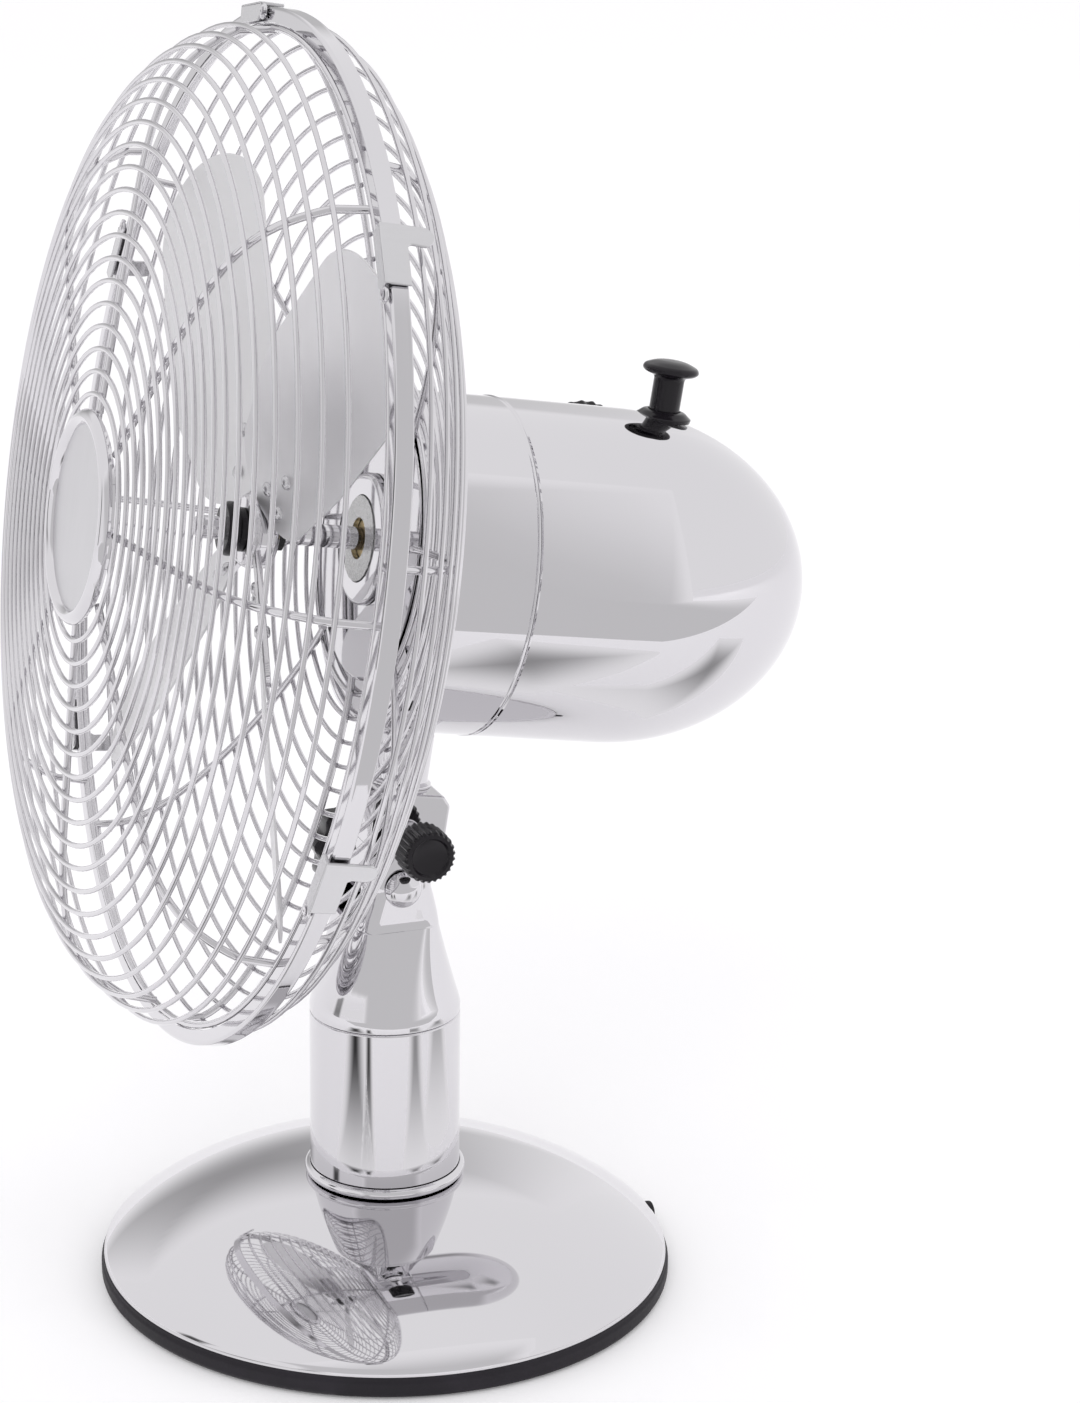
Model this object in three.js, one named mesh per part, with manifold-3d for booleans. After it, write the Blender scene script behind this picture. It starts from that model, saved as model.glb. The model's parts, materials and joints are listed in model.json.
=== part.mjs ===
// A chrome table fan with an oscillating, tilting head, as separate parts.
//
// Millimetres. +Z is up, the air leaves towards -Y, +X is on the right of somebody facing +Y.
// The origin is the middle of the base's underside.
//
// The stand is built straight in that frame. Everything above the tilt pivot sits in one group,
// "head frame", whose origin is on the tilt pivot and which leans back by TILT. In the head frame
// the fan's own axis is parallel to Y, and the swivel axis is Z itself.

import * as THREE from 'three';
import { mergeVertices } from 'three/addons/utils/BufferGeometryUtils.js';
import Module from 'manifold-3d';

const wasm = await Module();
wasm.setup();

// ---------------------------------------------------------------- driving dimensions

const GAP = 0.3; // clearance between pieces that touch
const SHEET = 1.2; // sheet metal of the shells

// stand
const BASE_R = 104;
const RIM_H = 8;
const DOME_RISE = 30.5; // the dome's height above the top of the rim
const COLUMN_R = 27.2;
const COLUMN_FOOT_Z = 39.7;
const SHOULDER_Z = 101; // where the round column becomes the neck
const NECK_TOP_Z = 137; // where the neck's taper ends and its cheeks begin
const CHEEK_X = 19; // outer faces of the two cheeks
const SLOT_X = 11.5; // half the width of the slot between the cheeks
const PIVOT_Z = 153;

// head frame
const TILT = THREE.MathUtils.degToRad(9);
const AXIS_Z = 120; // the blades' axis above the tilt pivot
const HOOP_Y = -79; // middle plane of the hoop that joins the two guards
const HOOP_R = 175;
const HOOP_W = 6;
const GUARD_DEPTH = 49.6; // from the hoop's plane to the front of the guard
const BACK_DEPTH = 54.4; // from the hoop's plane to the back of the rear guard
const WIRE = 1.1; // half the thickness of a guard wire
const BADGE_R = 36;

const HOUSING_R = 59.5;
const HOUSING_Z = AXIS_Z - 6.5; // the motor housing hangs a little below the shaft
const HOUSING_FRONT_Y = HOOP_Y + 56;
const SEAM_Y = HOOP_Y + 94.7;
const DOME_START_Y = HOOP_Y + 143;
const DOME_LENGTH = 74;

const BLADE_R = 150;
const HUB_Y = HOOP_Y + 13;
const POST_R = 10;
const KNOB_Y = HOOP_Y + 156.5; // station of the pull knob along the housing
const SPEED_Y = HOOP_Y + 148; // station of the speed knob
const SPEED_KNOB_ANGLE = THREE.MathUtils.degToRad(52);
const CRANK_R = 6;

// ---------------------------------------------------------------- materials

const finish = (color, roughness, metalness) =>
  new THREE.MeshStandardMaterial({ color, roughness, metalness });

const CHROME = finish(0xd6d8dc, 0.06, 1);
const SATIN_ALUMINIUM = finish(0xc4c5c7, 0.32, 1);
const BLACK_PLASTIC = finish(0x16141a, 0.28, 0);
const BLACK_RUBBER = finish(0x1c1a1f, 0.7, 0);
const STEEL = finish(0x9a9a98, 0.35, 1);
const CAST_IRON = finish(0x3b3a39, 0.8, 0.6);
const COPPER = finish(0xb4673a, 0.4, 1);
const BRASS = finish(0xb89a55, 0.35, 1);
const NYLON = finish(0xe6e2d6, 0.5, 0);
const FELT = finish(0x2a292c, 0.95, 0);

// ---------------------------------------------------------------- geometry helpers

// Shared vertices merged, and the triangles that collapse at a lathe's poles dropped.
function closed(geometry) {
  const bare = geometry.index ? geometry.toNonIndexed() : geometry.clone();
  bare.deleteAttribute('normal');
  bare.deleteAttribute('uv');
  const merged = mergeVertices(bare, 1e-4);
  const index = [];
  for (let i = 0; i < merged.index.count; i += 3) {
    const a = merged.index.getX(i);
    const b = merged.index.getX(i + 1);
    const c = merged.index.getX(i + 2);
    if (a !== b && b !== c && c !== a) index.push(a, b, c);
  }
  merged.setIndex(index);
  return merged;
}

function toManifold(geometry) {
  const g = closed(geometry);
  return new wasm.Manifold(new wasm.Mesh({
    numProp: 3,
    vertProperties: new Float32Array(g.attributes.position.array),
    triVerts: new Uint32Array(g.index.array),
  }));
}

function fromManifold(manifold) {
  const mesh = manifold.getMesh();
  const g = new THREE.BufferGeometry();
  g.setAttribute('position', new THREE.BufferAttribute(new Float32Array(mesh.vertProperties), 3));
  g.setIndex(new THREE.BufferAttribute(new Uint32Array(mesh.triVerts), 1));
  return g;
}

const join = (...pieces) => fromManifold(pieces.map(toManifold).reduce((a, b) => a.add(b)));
const cut = (piece, ...tools) =>
  fromManifold(tools.map(toManifold).reduce((a, b) => a.subtract(b), toManifold(piece)));
const common = (a, b) => fromManifold(toManifold(a).intersect(toManifold(b)));

// A turned solid about Y. points are [radius, height] pairs, going up the outside.
function turnedY(points, segments = 28) {
  return new THREE.LatheGeometry(points.map(([r, h]) => new THREE.Vector2(r, h)), segments);
}

const turnedZ = (points, segments) => turnedY(points, segments).rotateX(Math.PI / 2);

// A turned ring: a closed section given anticlockwise in (radius, height).
const ringY = (points, segments) => turnedY([...points, points[0]], segments);
const ringZ = (points, segments) => turnedZ([...points, points[0]], segments);

const boxRing = (r1, r2, h1, h2) => [[r2, h1], [r2, h2], [r1, h2], [r1, h1]];
const disc = (r, h1, h2) => [[0, h1], [r, h1], [r, h2], [0, h2]];

function box(x1, x2, y1, y2, z1, z2) {
  const g = new THREE.BoxGeometry(x2 - x1, y2 - y1, z2 - z1);
  return g.translate((x1 + x2) / 2, (y1 + y2) / 2, (z1 + z2) / 2);
}

function plate(shape, thickness, curveSegments = 6) {
  return new THREE.ExtrudeGeometry(shape, { depth: thickness, bevelEnabled: false, curveSegments });
}

// A wire of square section along a list of points.
function wire(points, half, steps) {
  const section = new THREE.Shape([
    new THREE.Vector2(-half, -half), new THREE.Vector2(half, -half),
    new THREE.Vector2(half, half), new THREE.Vector2(-half, half),
  ]);
  const extrudePath = new THREE.CatmullRomCurve3(points);
  return new THREE.ExtrudeGeometry(section, { steps, bevelEnabled: false, extrudePath });
}

// A knob's outline: a circle with round lobes.
function lobedShape(radius, depth, lobes) {
  const shape = new THREE.Shape();
  const steps = lobes * 4;
  for (let i = 0; i < steps; i++) {
    const a = (i / steps) * 2 * Math.PI;
    const r = radius - depth * (0.5 + 0.5 * Math.cos(lobes * a));
    if (i === 0) shape.moveTo(r, 0);
    else shape.lineTo(r * Math.cos(a), r * Math.sin(a));
  }
  return shape;
}

const ring = (from, count) => Array.from({ length: count }, (_, i) => from + (i * 2 * Math.PI) / count);

// ---------------------------------------------------------------- assembly helpers

const fan = new THREE.Group();
const headFrame = new THREE.Group();
headFrame.position.set(0, 0, PIVOT_Z);
headFrame.rotation.x = -TILT;
fan.add(headFrame);

function add(parent, name, geometry, material) {
  const mesh = new THREE.Mesh(closed(geometry), material);
  mesh.name = name;
  parent.add(mesh);
  return mesh;
}

// ---------------------------------------------------------------- stand: base

// Height of the dome's outer skin at a radius: a full, flattened dome.
function domeZ(r) {
  return RIM_H + DOME_RISE * (1 - (r / BASE_R) ** 2.5) ** 0.85;
}

const domeRadii = [101.5, 97, 90, 80, 66, 50, 36, 24];
const domeSkin = domeRadii.map((r) => [r, domeZ(r)]);
const domeInside = [...domeSkin].reverse().map(([r, z]) => [r - 0.4, z - SHEET]);
const GLAND_Z = 4;

add(fan, 'base_pad', turnedZ(disc(94, 0, 1.5), 28), FELT);
add(fan, 'base_cover', turnedZ(disc(95.8, 1.5 + GAP, 3), 28), STEEL);
const rim = ringZ([
  [96.9, 0], [BASE_R - 0.6, 0], [BASE_R, 1], [BASE_R, RIM_H - 1.5], [BASE_R - 1.2, RIM_H],
  [98, RIM_H], [98, 3.4], [96.9, 3.4],
], 28);
const cordHole = turnedY(disc(3.6, BASE_R - 12, BASE_R + 2), 12).translate(0, 0, GLAND_Z);
add(fan, 'base_rim', cut(rim, cordHole), BLACK_RUBBER);

// the grommet the cord leaves through, at the back of the rim
add(fan, 'cord_gland', ringY([
  [3.2, 97.5], [3.2, BASE_R + GAP], [3.9, BASE_R + GAP], [3.6, 106.5], [2.2, 106.5], [2.2, 97.5],
], 12).translate(0, 0, GLAND_Z), BLACK_RUBBER);

// the weight has a hub up to the dome's crown, and a recess below for the tie rod's nut
add(fan, 'base_weight', ringZ([
  [84, 3.4], [86, 8], [80, 15], [24, 15], [18, domeZ(24) - 2 - GAP], [4.5, domeZ(24) - 2 - GAP],
  [4.5, 9], [10, 9], [10, 3.4],
], 24), CAST_IRON);

add(fan, 'base_shell', ringZ([
  [101.5, RIM_H + GAP], ...domeSkin, [12, domeZ(24)], [12, domeZ(24) - 2],
  ...domeInside.slice(0, -1), [100, RIM_H + GAP],
], 28), CHROME);

// ---------------------------------------------------------------- stand: column and neck

add(fan, 'column_foot_ring', ringZ([
  [25.4, COLUMN_FOOT_Z - 1.6], [28.6, COLUMN_FOOT_Z - 1.6], [29.3, COLUMN_FOOT_Z - 0.2],
  [28.8, COLUMN_FOOT_Z + 1.4], [COLUMN_R, COLUMN_FOOT_Z + 2], [25.4, COLUMN_FOOT_Z + 2],
], 32), CHROME);
add(fan, 'column_tube', ringZ(
  boxRing(COLUMN_R - 1.5, COLUMN_R, COLUMN_FOOT_Z + 2 + GAP, SHOULDER_Z - GAP), 32,
), CHROME);

// Neck: a cone that meets a block with two flat cheeks, slotted for the bracket's tongue.
const neckCone = turnedZ([
  [0, 90], [COLUMN_R - 1.8, 90], [COLUMN_R - 1.8, SHOULDER_Z], [COLUMN_R, SHOULDER_Z],
  [COLUMN_R, SHOULDER_Z + 2], [20.4, NECK_TOP_Z], [19.6, NECK_TOP_Z + 8], [19.6, 166], [0, 166],
], 26);
const neckSide = new THREE.Shape();
neckSide.moveTo(-28, 88);
neckSide.lineTo(28, 88);
neckSide.lineTo(28, SHOULDER_Z);
neckSide.lineTo(15.5, NECK_TOP_Z);
neckSide.lineTo(12.5, PIVOT_Z);
neckSide.absarc(0, PIVOT_Z, 12.5, 0, Math.PI, false);
neckSide.lineTo(-15.5, NECK_TOP_Z);
neckSide.lineTo(-28, SHOULDER_Z);
const neckSideSolid = plate(neckSide, 80).rotateX(Math.PI / 2).rotateZ(Math.PI / 2).translate(-40, 0, 0);
const neckFront = new THREE.Shape([
  [-28, 88], [28, 88], [28, SHOULDER_Z - 2], [CHEEK_X + 0.6, NECK_TOP_Z], [CHEEK_X, 170],
  [-CHEEK_X, 170], [-CHEEK_X - 0.6, NECK_TOP_Z], [-28, SHOULDER_Z - 2],
].map(([x, z]) => new THREE.Vector2(x, z)));
const neckFrontSolid = plate(neckFront, 80).rotateX(Math.PI / 2).translate(0, 40, 0);
const neckSlot = box(-SLOT_X, SLOT_X, -40, 40, 138.5, 175);
const neckBore = turnedZ(disc(4, 80, 139), 12);
const pivotHole = turnedY(disc(3.4, -30, 30), 12).rotateZ(-Math.PI / 2).translate(0, 0, PIVOT_Z);
add(fan, 'neck', cut(
  common(common(neckCone, neckSideSolid), neckFrontSolid), neckSlot, neckBore, pivotHole,
), CHROME);

// tie rod: pulls base, column and neck together
add(fan, 'tie_rod', turnedZ(disc(3, 3.8, 137), 8), STEEL);
add(fan, 'tie_nut', ringZ(boxRing(3 + 2 * GAP, 6.4, 3.8, 8.7), 6), STEEL);

// pivot bolt: a domed head on the near cheek, its thread in the big knob on the far side
const CHEEK_FACE = CHEEK_X + 0.6 + GAP; // clear of the cheeks' slight slope
const pivotBolt = turnedY([[0, -31], [3, -31], [3, CHEEK_FACE], [6.8, CHEEK_FACE],
  [6.8, CHEEK_FACE + 1], [6, CHEEK_FACE + 1.2], [4.6, CHEEK_FACE + 3], [2.4, CHEEK_FACE + 4.2],
  [0, CHEEK_FACE + 4.6]], 16);
add(fan, 'pivot_bolt', pivotBolt.rotateZ(-Math.PI / 2).translate(0, 0, PIVOT_Z), CHROME);

// ---------------------------------------------------------------- tilt bracket

// The tongue sits between the cheeks; the block above them carries the post and its lock screw.
const TONGUE_X = 9;
const BLOCK_Z1 = 13.6;
const BLOCK_Z2 = 30;
const LOCK_Z = 18.5; // the lock screw's axis above the pivot
const tongueShape = new THREE.Shape();
tongueShape.moveTo(-11, 0);
tongueShape.absarc(0, 0, 11, Math.PI, 2 * Math.PI, false);
tongueShape.lineTo(11, BLOCK_Z1 + 2);
tongueShape.lineTo(-11, BLOCK_Z1 + 2);
const tongue = plate(tongueShape, 2 * TONGUE_X).rotateX(Math.PI / 2).rotateZ(Math.PI / 2)
  .translate(-TONGUE_X, 0, 0);
const blockShape = new THREE.Shape([
  [-14.5, BLOCK_Z1], [14.5, BLOCK_Z1], [14.5, BLOCK_Z2], [POST_R + 2, BLOCK_Z2 + 3.5],
  [-POST_R - 2, BLOCK_Z2 + 3.5], [-14.5, BLOCK_Z2],
].map(([y, z]) => new THREE.Vector2(y, z)));
const block = plate(blockShape, 32).rotateX(Math.PI / 2).rotateZ(Math.PI / 2).translate(-16, 0, 0);
const postSocket = turnedZ(disc(POST_R - 3 + GAP, 17, 60), 16);
const lockHole = turnedY(disc(2.8, 5, 30), 10).rotateZ(-Math.PI / 2).translate(0, 0, LOCK_Z);
const boltHole = turnedY(disc(3.3, -30, 30), 12).rotateZ(-Math.PI / 2);
add(headFrame, 'tilt_bracket', cut(join(tongue, block), postSocket, lockHole, boltHole), CHROME);

for (const [side, x] of [['near', TONGUE_X + GAP], ['far', -SLOT_X + GAP]]) {
  add(headFrame, `friction_washer_${side}`, ringY(boxRing(3.5, 9, x, x + 1.9), 14)
    .rotateZ(-Math.PI / 2), NYLON);
}

// swivel post: a spigot held in the block, the polished stem above it, the journal in the head
add(headFrame, 'swivel_post', turnedZ([
  [0, 17.3], [POST_R - 3, 17.3], [POST_R - 3, BLOCK_Z2 + 3.5 + GAP], [POST_R, BLOCK_Z2 + 3.5 + GAP],
  [POST_R, 52], [7, 52.4], [7, 70], [0, 70],
], 20), CHROME);

// ---------------------------------------------------------------- tilt knob and lock knob

const tiltKnobBody = plate(lobedShape(19, 2.6, 10), 12).rotateY(-Math.PI / 2).translate(-22, 0, 0);
const tiltKnobNeck = turnedY(disc(9, -22.6, -CHEEK_FACE), 14).rotateZ(-Math.PI / 2);
const tiltKnobBore = turnedY(disc(3 + GAP, -32, -10), 10).rotateZ(-Math.PI / 2);
add(headFrame, 'tilt_knob', cut(join(tiltKnobBody, tiltKnobNeck), tiltKnobBore), BLACK_PLASTIC);

add(headFrame, 'lock_screw', turnedY([[0, 7.4], [2.5, 7.4], [2.5, 16.6], [4.4, 16.6], [4.4, 27],
  [0, 27]], 10).rotateZ(-Math.PI / 2).translate(0, 0, LOCK_Z), CHROME);
add(headFrame, 'lock_knob', plate(lobedShape(9.6, 0.8, 18), 13.5).rotateY(Math.PI / 2)
  .translate(27 + GAP, 0, LOCK_Z), BLACK_PLASTIC);

// ---------------------------------------------------------------- motor housing

// The housing's radius at a distance behind the start of its round end.
const tailR = (t, scale = 1) => HOUSING_R * scale * Math.sqrt(Math.max(0, 1 - (t / DOME_LENGTH) ** 2));

function onHousingAxis(geometry) {
  return geometry.translate(0, 0, HOUSING_Z);
}

function onShaftAxis(geometry) {
  return geometry.translate(0, 0, AXIS_Z);
}

const inner = HOUSING_R - SHEET;
const drumProfile = [
  [HOUSING_R - 5, HOUSING_FRONT_Y], [HOUSING_R - 1.4, HOUSING_FRONT_Y + 1.4],
  [HOUSING_R, HOUSING_FRONT_Y + 5], [HOUSING_R, SEAM_Y - GAP], [inner, SEAM_Y - GAP],
  [inner, HOUSING_FRONT_Y + 5], [inner - 4, HOUSING_FRONT_Y + SHEET],
  [24, HOUSING_FRONT_Y + SHEET], [24, HOUSING_FRONT_Y],
];
const postHole = turnedZ(disc(POST_R + 1.2, 40, 60), 16);
add(headFrame, 'front_drum', cut(onHousingAxis(ringY(drumProfile, 26)), postHole), CHROME);

const tailSteps = [0, 20, 36, 50, 61, 69, 73];
const shellProfile = [
  [HOUSING_R, SEAM_Y],
  ...tailSteps.map((t) => [tailR(t), DOME_START_Y + t]),
  [0, DOME_START_Y + DOME_LENGTH], [0, DOME_START_Y + DOME_LENGTH - SHEET],
  ...[...tailSteps].reverse().map((t) => [tailR(t) * 0.98, DOME_START_Y + t * 0.98]),
  [inner, SEAM_Y],
];
const rearShell = onHousingAxis(ringY(shellProfile, 26));
const pullHole = turnedZ(disc(6, AXIS_Z + 30, AXIS_Z + 70), 14).translate(0, KNOB_Y, 0);
const speedAxis = (geometry) =>
  geometry.rotateY(-SPEED_KNOB_ANGLE).translate(0, SPEED_Y, HOUSING_Z);
const speedHole = speedAxis(turnedZ(disc(4.4, 40, 75), 12));
add(headFrame, 'rear_shell', cut(rearShell, pullHole, speedHole), CHROME);

// ---------------------------------------------------------------- motor and gearbox

const MOTOR_Y = HOUSING_FRONT_Y + 2;
add(headFrame, 'motor_plate', onShaftAxis(ringY([
  [44, MOTOR_Y], [44, MOTOR_Y + 3], [12, MOTOR_Y + 3], [12, MOTOR_Y + 6], [7.3, MOTOR_Y + 6],
  [7.3, MOTOR_Y - 8], [15, MOTOR_Y - 8], [15, MOTOR_Y],
], 24)), STEEL);
add(headFrame, 'front_bearing', onShaftAxis(ringY(
  boxRing(4 + GAP, 7, MOTOR_Y - 6, MOTOR_Y + 5), 12,
)), BRASS);
add(headFrame, 'stator_core', onShaftAxis(ringY(boxRing(25, 42, MOTOR_Y + 12, MOTOR_Y + 48), 20)), STEEL);
add(headFrame, 'winding_front', onShaftAxis(ringY(
  boxRing(27, 39, MOTOR_Y + 5, MOTOR_Y + 12 - GAP), 20,
)), COPPER);
add(headFrame, 'winding_rear', onShaftAxis(ringY(
  boxRing(27, 39, MOTOR_Y + 48 + GAP, MOTOR_Y + 55), 20,
)), COPPER);
add(headFrame, 'motor_end_plate', onShaftAxis(ringY(
  [[43, MOTOR_Y + 57], [43, MOTOR_Y + 59.5], [7.3, MOTOR_Y + 59.5], [7.3, MOTOR_Y + 57]], 20,
)), STEEL);
add(headFrame, 'rear_bearing', onShaftAxis(ringY(
  boxRing(4 + GAP, 7, MOTOR_Y + 54, MOTOR_Y + 62), 12,
)), BRASS);

// Gearbox: a tub open to the rear, behind the motor.
const GEARBOX_Y = MOTOR_Y + 64;
const GEARBOX_Z = AXIS_Z - 4;
const tub = box(-21, 21, GEARBOX_Y, GEARBOX_Y + 48, GEARBOX_Z - 22, GEARBOX_Z + 18);
const tubRoom = box(-18.5, 18.5, GEARBOX_Y + 3, GEARBOX_Y + 50, GEARBOX_Z - 19.5, GEARBOX_Z + 15.5);
const tubShaftHole = onShaftAxis(turnedY(disc(5, GEARBOX_Y - 5, GEARBOX_Y + 10), 12));
const tubTopHole = turnedZ(disc(4, AXIS_Z, AXIS_Z + 30), 12).translate(0, KNOB_Y, 0);
const tubFloorHole = turnedZ(disc(3.6, AXIS_Z - 40, AXIS_Z), 12).translate(0, KNOB_Y, 0);
add(headFrame, 'gearbox', cut(tub, tubRoom, tubShaftHole, tubTopHole, tubFloorHole), CAST_IRON);

// The first gear lies beside the worm on the shaft; the crank gear stands under the pull rod.
const GEAR1_R = 8;
const WORM_R = 3.6;
const GEAR1_Y = GEARBOX_Y + 13;
const gear1 = plate(lobedShape(GEAR1_R, 1, 10), 5).rotateY(Math.PI / 2).translate(-2.5, 0, 0);
const gear1Pin = turnedY(disc(2, -17.5, 17.5), 10).rotateZ(-Math.PI / 2);
add(headFrame, 'first_gear', join(gear1, gear1Pin)
  .translate(0, GEAR1_Y, AXIS_Z - WORM_R - GEAR1_R - GAP), NYLON);

const crankWheel = plate(lobedShape(14, 1.4, 12), 5).translate(0, 0, AXIS_Z - 21.5);
const crankSpindle = turnedZ(disc(3, AXIS_Z - 37, AXIS_Z + 4), 10);
const crankThrow = join(
  turnedZ(disc(9, AXIS_Z - 37, AXIS_Z - 33), 14),
  turnedZ(disc(2.4, AXIS_Z - 49.5, AXIS_Z - 35), 10).translate(0, -CRANK_R, 0),
);
add(headFrame, 'crank_gear', join(crankWheel, crankSpindle, crankThrow).translate(0, KNOB_Y, 0), NYLON);

// The link that pulls the head round; its far end stops short of the post.
const linkShape = new THREE.Shape();
const LINK_Y = KNOB_Y - CRANK_R;
linkShape.absarc(0, LINK_Y, 5, 0, Math.PI, false);
linkShape.lineTo(-4, 28);
linkShape.absarc(0, 28, 4, Math.PI, 2 * Math.PI, false);
const linkHole = new THREE.Path();
linkHole.absarc(0, LINK_Y, 2.8, 0, 2 * Math.PI, true);
linkShape.holes.push(linkHole);
add(headFrame, 'swing_link', plate(linkShape, 2.5).translate(0, 0, AXIS_Z - 48.5), STEEL);

add(headFrame, 'capacitor', box(26, 38, GEARBOX_Y, GEARBOX_Y + 26, AXIS_Z - 22, AXIS_Z + 6), BLACK_PLASTIC);

// ---------------------------------------------------------------- swivel sleeve and controls

add(headFrame, 'swivel_sleeve', ringZ(boxRing(7 + GAP, POST_R - 0.4, 55.8, 70), 16), BRASS);

const KNOB_SEAT_Z = HOUSING_Z + tailR(KNOB_Y - DOME_START_Y);
add(headFrame, 'pull_collar', ringZ([
  [8.6, KNOB_SEAT_Z + 1.3], [8.2, KNOB_SEAT_Z + 2.6], [5.7, KNOB_SEAT_Z + 3], [5.7, KNOB_SEAT_Z + 1.3],
], 16).translate(0, KNOB_Y, 0), BLACK_PLASTIC);
add(headFrame, 'pull_knob', turnedZ([
  [0, AXIS_Z + 12], [3, AXIS_Z + 12], [3, KNOB_SEAT_Z - 14], [5.4, KNOB_SEAT_Z - 12],
  [5.4, KNOB_SEAT_Z + 15], [9.4, KNOB_SEAT_Z + 16], [10, KNOB_SEAT_Z + 17.2],
  [8.4, KNOB_SEAT_Z + 19.2], [4, KNOB_SEAT_Z + 20.2], [0, KNOB_SEAT_Z + 20.4],
], 16).translate(0, KNOB_Y, 0), BLACK_PLASTIC);

const speedKnobBody = plate(lobedShape(14, 1.2, 14), 11).translate(0, 0, HOUSING_R + 1.5);
const speedKnobStem = turnedZ(disc(4, HOUSING_R - 8, HOUSING_R + 3), 12);
add(headFrame, 'speed_knob', speedAxis(join(speedKnobBody, speedKnobStem)), BLACK_PLASTIC);
add(headFrame, 'speed_switch', speedAxis(
  box(-11, 11, -12, 12, HOUSING_R - 26, HOUSING_R - 8 - GAP),
), NYLON);

// ---------------------------------------------------------------- rotor and blades

add(headFrame, 'shaft', onShaftAxis(turnedY([
  [0, HOOP_Y - 9], [3.4, HOOP_Y - 9], [4, HOOP_Y - 7], [4, GEARBOX_Y + 4], [WORM_R, GEARBOX_Y + 4.5],
  [WORM_R, GEARBOX_Y + 22], [0, GEARBOX_Y + 22],
], 12)), STEEL);
add(headFrame, 'rotor_core', onShaftAxis(ringY(
  boxRing(4 + GAP, 24, MOTOR_Y + 12, MOTOR_Y + 48), 16,
)), STEEL);
add(headFrame, 'thrust_collar', onShaftAxis(ringY(
  boxRing(4 + GAP, 6.5, HUB_Y + 5 + GAP, HUB_Y + 9), 12,
)), BLACK_PLASTIC);
add(headFrame, 'spinner_nut', onShaftAxis(ringY([
  [7.5, HUB_Y - 12], [8.4, HUB_Y - 10], [8.4, HUB_Y - 5 - GAP], [4 + GAP, HUB_Y - 5 - GAP],
  [4 + GAP, HUB_Y - 12],
], 16)), CHROME);

// Blade and hub arms are drawn flat: x along the blade, y across it.
const BLADE_PITCH = THREE.MathUtils.degToRad(-20); // the leading edge is towards the front
const BLADE_T = 1.5;
const ARM_T = 2;

const TIP_R = 29.25; // the blade's round end
const TIP_Y = 8.75; // the blade is wider on its leading side

function bladeShape() {
  const s = new THREE.Shape();
  s.moveTo(14, 0);
  s.lineTo(19, -12);
  s.lineTo(27, -17);
  s.lineTo(72, TIP_Y - TIP_R);
  s.absarc(BLADE_R - TIP_R - 0.3, TIP_Y, TIP_R, -Math.PI / 2, Math.PI / 2, false);
  s.lineTo(72, TIP_Y + TIP_R);
  s.lineTo(27, 25);
  s.lineTo(18, 16);
  s.lineTo(14, 8);
  return s;
}

// Stands a flat piece out along the radius at an angle, pitched about that radius.
function onRadius(geometry, angle) {
  return geometry.rotateX(Math.PI / 2 - BLADE_PITCH).rotateY(-angle).translate(0, HUB_Y, AXIS_Z);
}

const hubBoss = ringY(boxRing(4 + GAP, 13, -5, 5), 20).translate(0, HUB_Y, AXIS_Z);
const bladeAngles = ring(THREE.MathUtils.degToRad(39), 4);
const hubBore = onShaftAxis(turnedY(disc(4 + GAP, HUB_Y - 20, HUB_Y + 20), 16));
const arms = bladeAngles.map((a) => onRadius(box(7, 58, -7, 7, -ARM_T / 2, ARM_T / 2), a));
add(headFrame, 'hub', cut(join(hubBoss, ...arms), hubBore), STEEL);
bladeAngles.forEach((a, i) => {
  const sheet = plate(bladeShape(), BLADE_T, 5).translate(0, 0, ARM_T / 2 + GAP);
  add(headFrame, `blade_${i + 1}`, onRadius(sheet, a), SATIN_ALUMINIUM);
});

// ---------------------------------------------------------------- guards

const HALF_W = HOOP_W / 2; // half the hoop's width
const hoopAxis = (geometry) => geometry.translate(0, HOOP_Y, AXIS_Z);
const FRONT_SEAT_R = 168.2; // end ring of the front guard, just inside the hoop's flange
const REAR_SEAT_R = 171; // end ring of the rear guard, behind the flange
const FLANGE_R = 170.2; // inner edge of the flange

// Distance of the front guard ahead of the hoop's plane: a nearly flat face that turns down at the rim.
const frontY = (r) => -(GUARD_DEPTH - 0.055 * r) * (1 - (r / 170.5) ** 11) ** 0.8;
const REAR_FLAT_R = 49; // the rear guard is flat where it is clamped to the motor
const REAR_EDGE_R = 172; // where the rear guard's curve would meet the hoop

function rearY(r) {
  const share = Math.max(0, r - REAR_FLAT_R) / (REAR_EDGE_R - REAR_FLAT_R);
  return HALF_W + (BACK_DEPTH - HALF_W) * Math.sqrt(1 - share ** 1.4);
}

function guard(profile, radii, hubRing, seatR, seatY, wireRadii, firstStrut) {
  const pieces = [hoopAxis(ringY(hubRing, 24))];
  pieces.push(hoopAxis(ringY(boxRing(seatR - WIRE, seatR + WIRE, seatY - WIRE, seatY + WIRE), 24)));
  for (const r of radii) {
    const y = profile(r);
    pieces.push(hoopAxis(ringY(boxRing(r - WIRE, r + WIRE, y - WIRE, y + WIRE), 20)));
  }
  for (const angle of ring(THREE.MathUtils.degToRad(firstStrut), 8)) {
    const path = wireRadii.map((r) => new THREE.Vector3(r, profile(r), 0));
    path.push(new THREE.Vector3(seatR, seatY, 0));
    pieces.push(hoopAxis(wire(path, WIRE, 8).rotateY(-angle)));
  }
  return join(...pieces);
}

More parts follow.
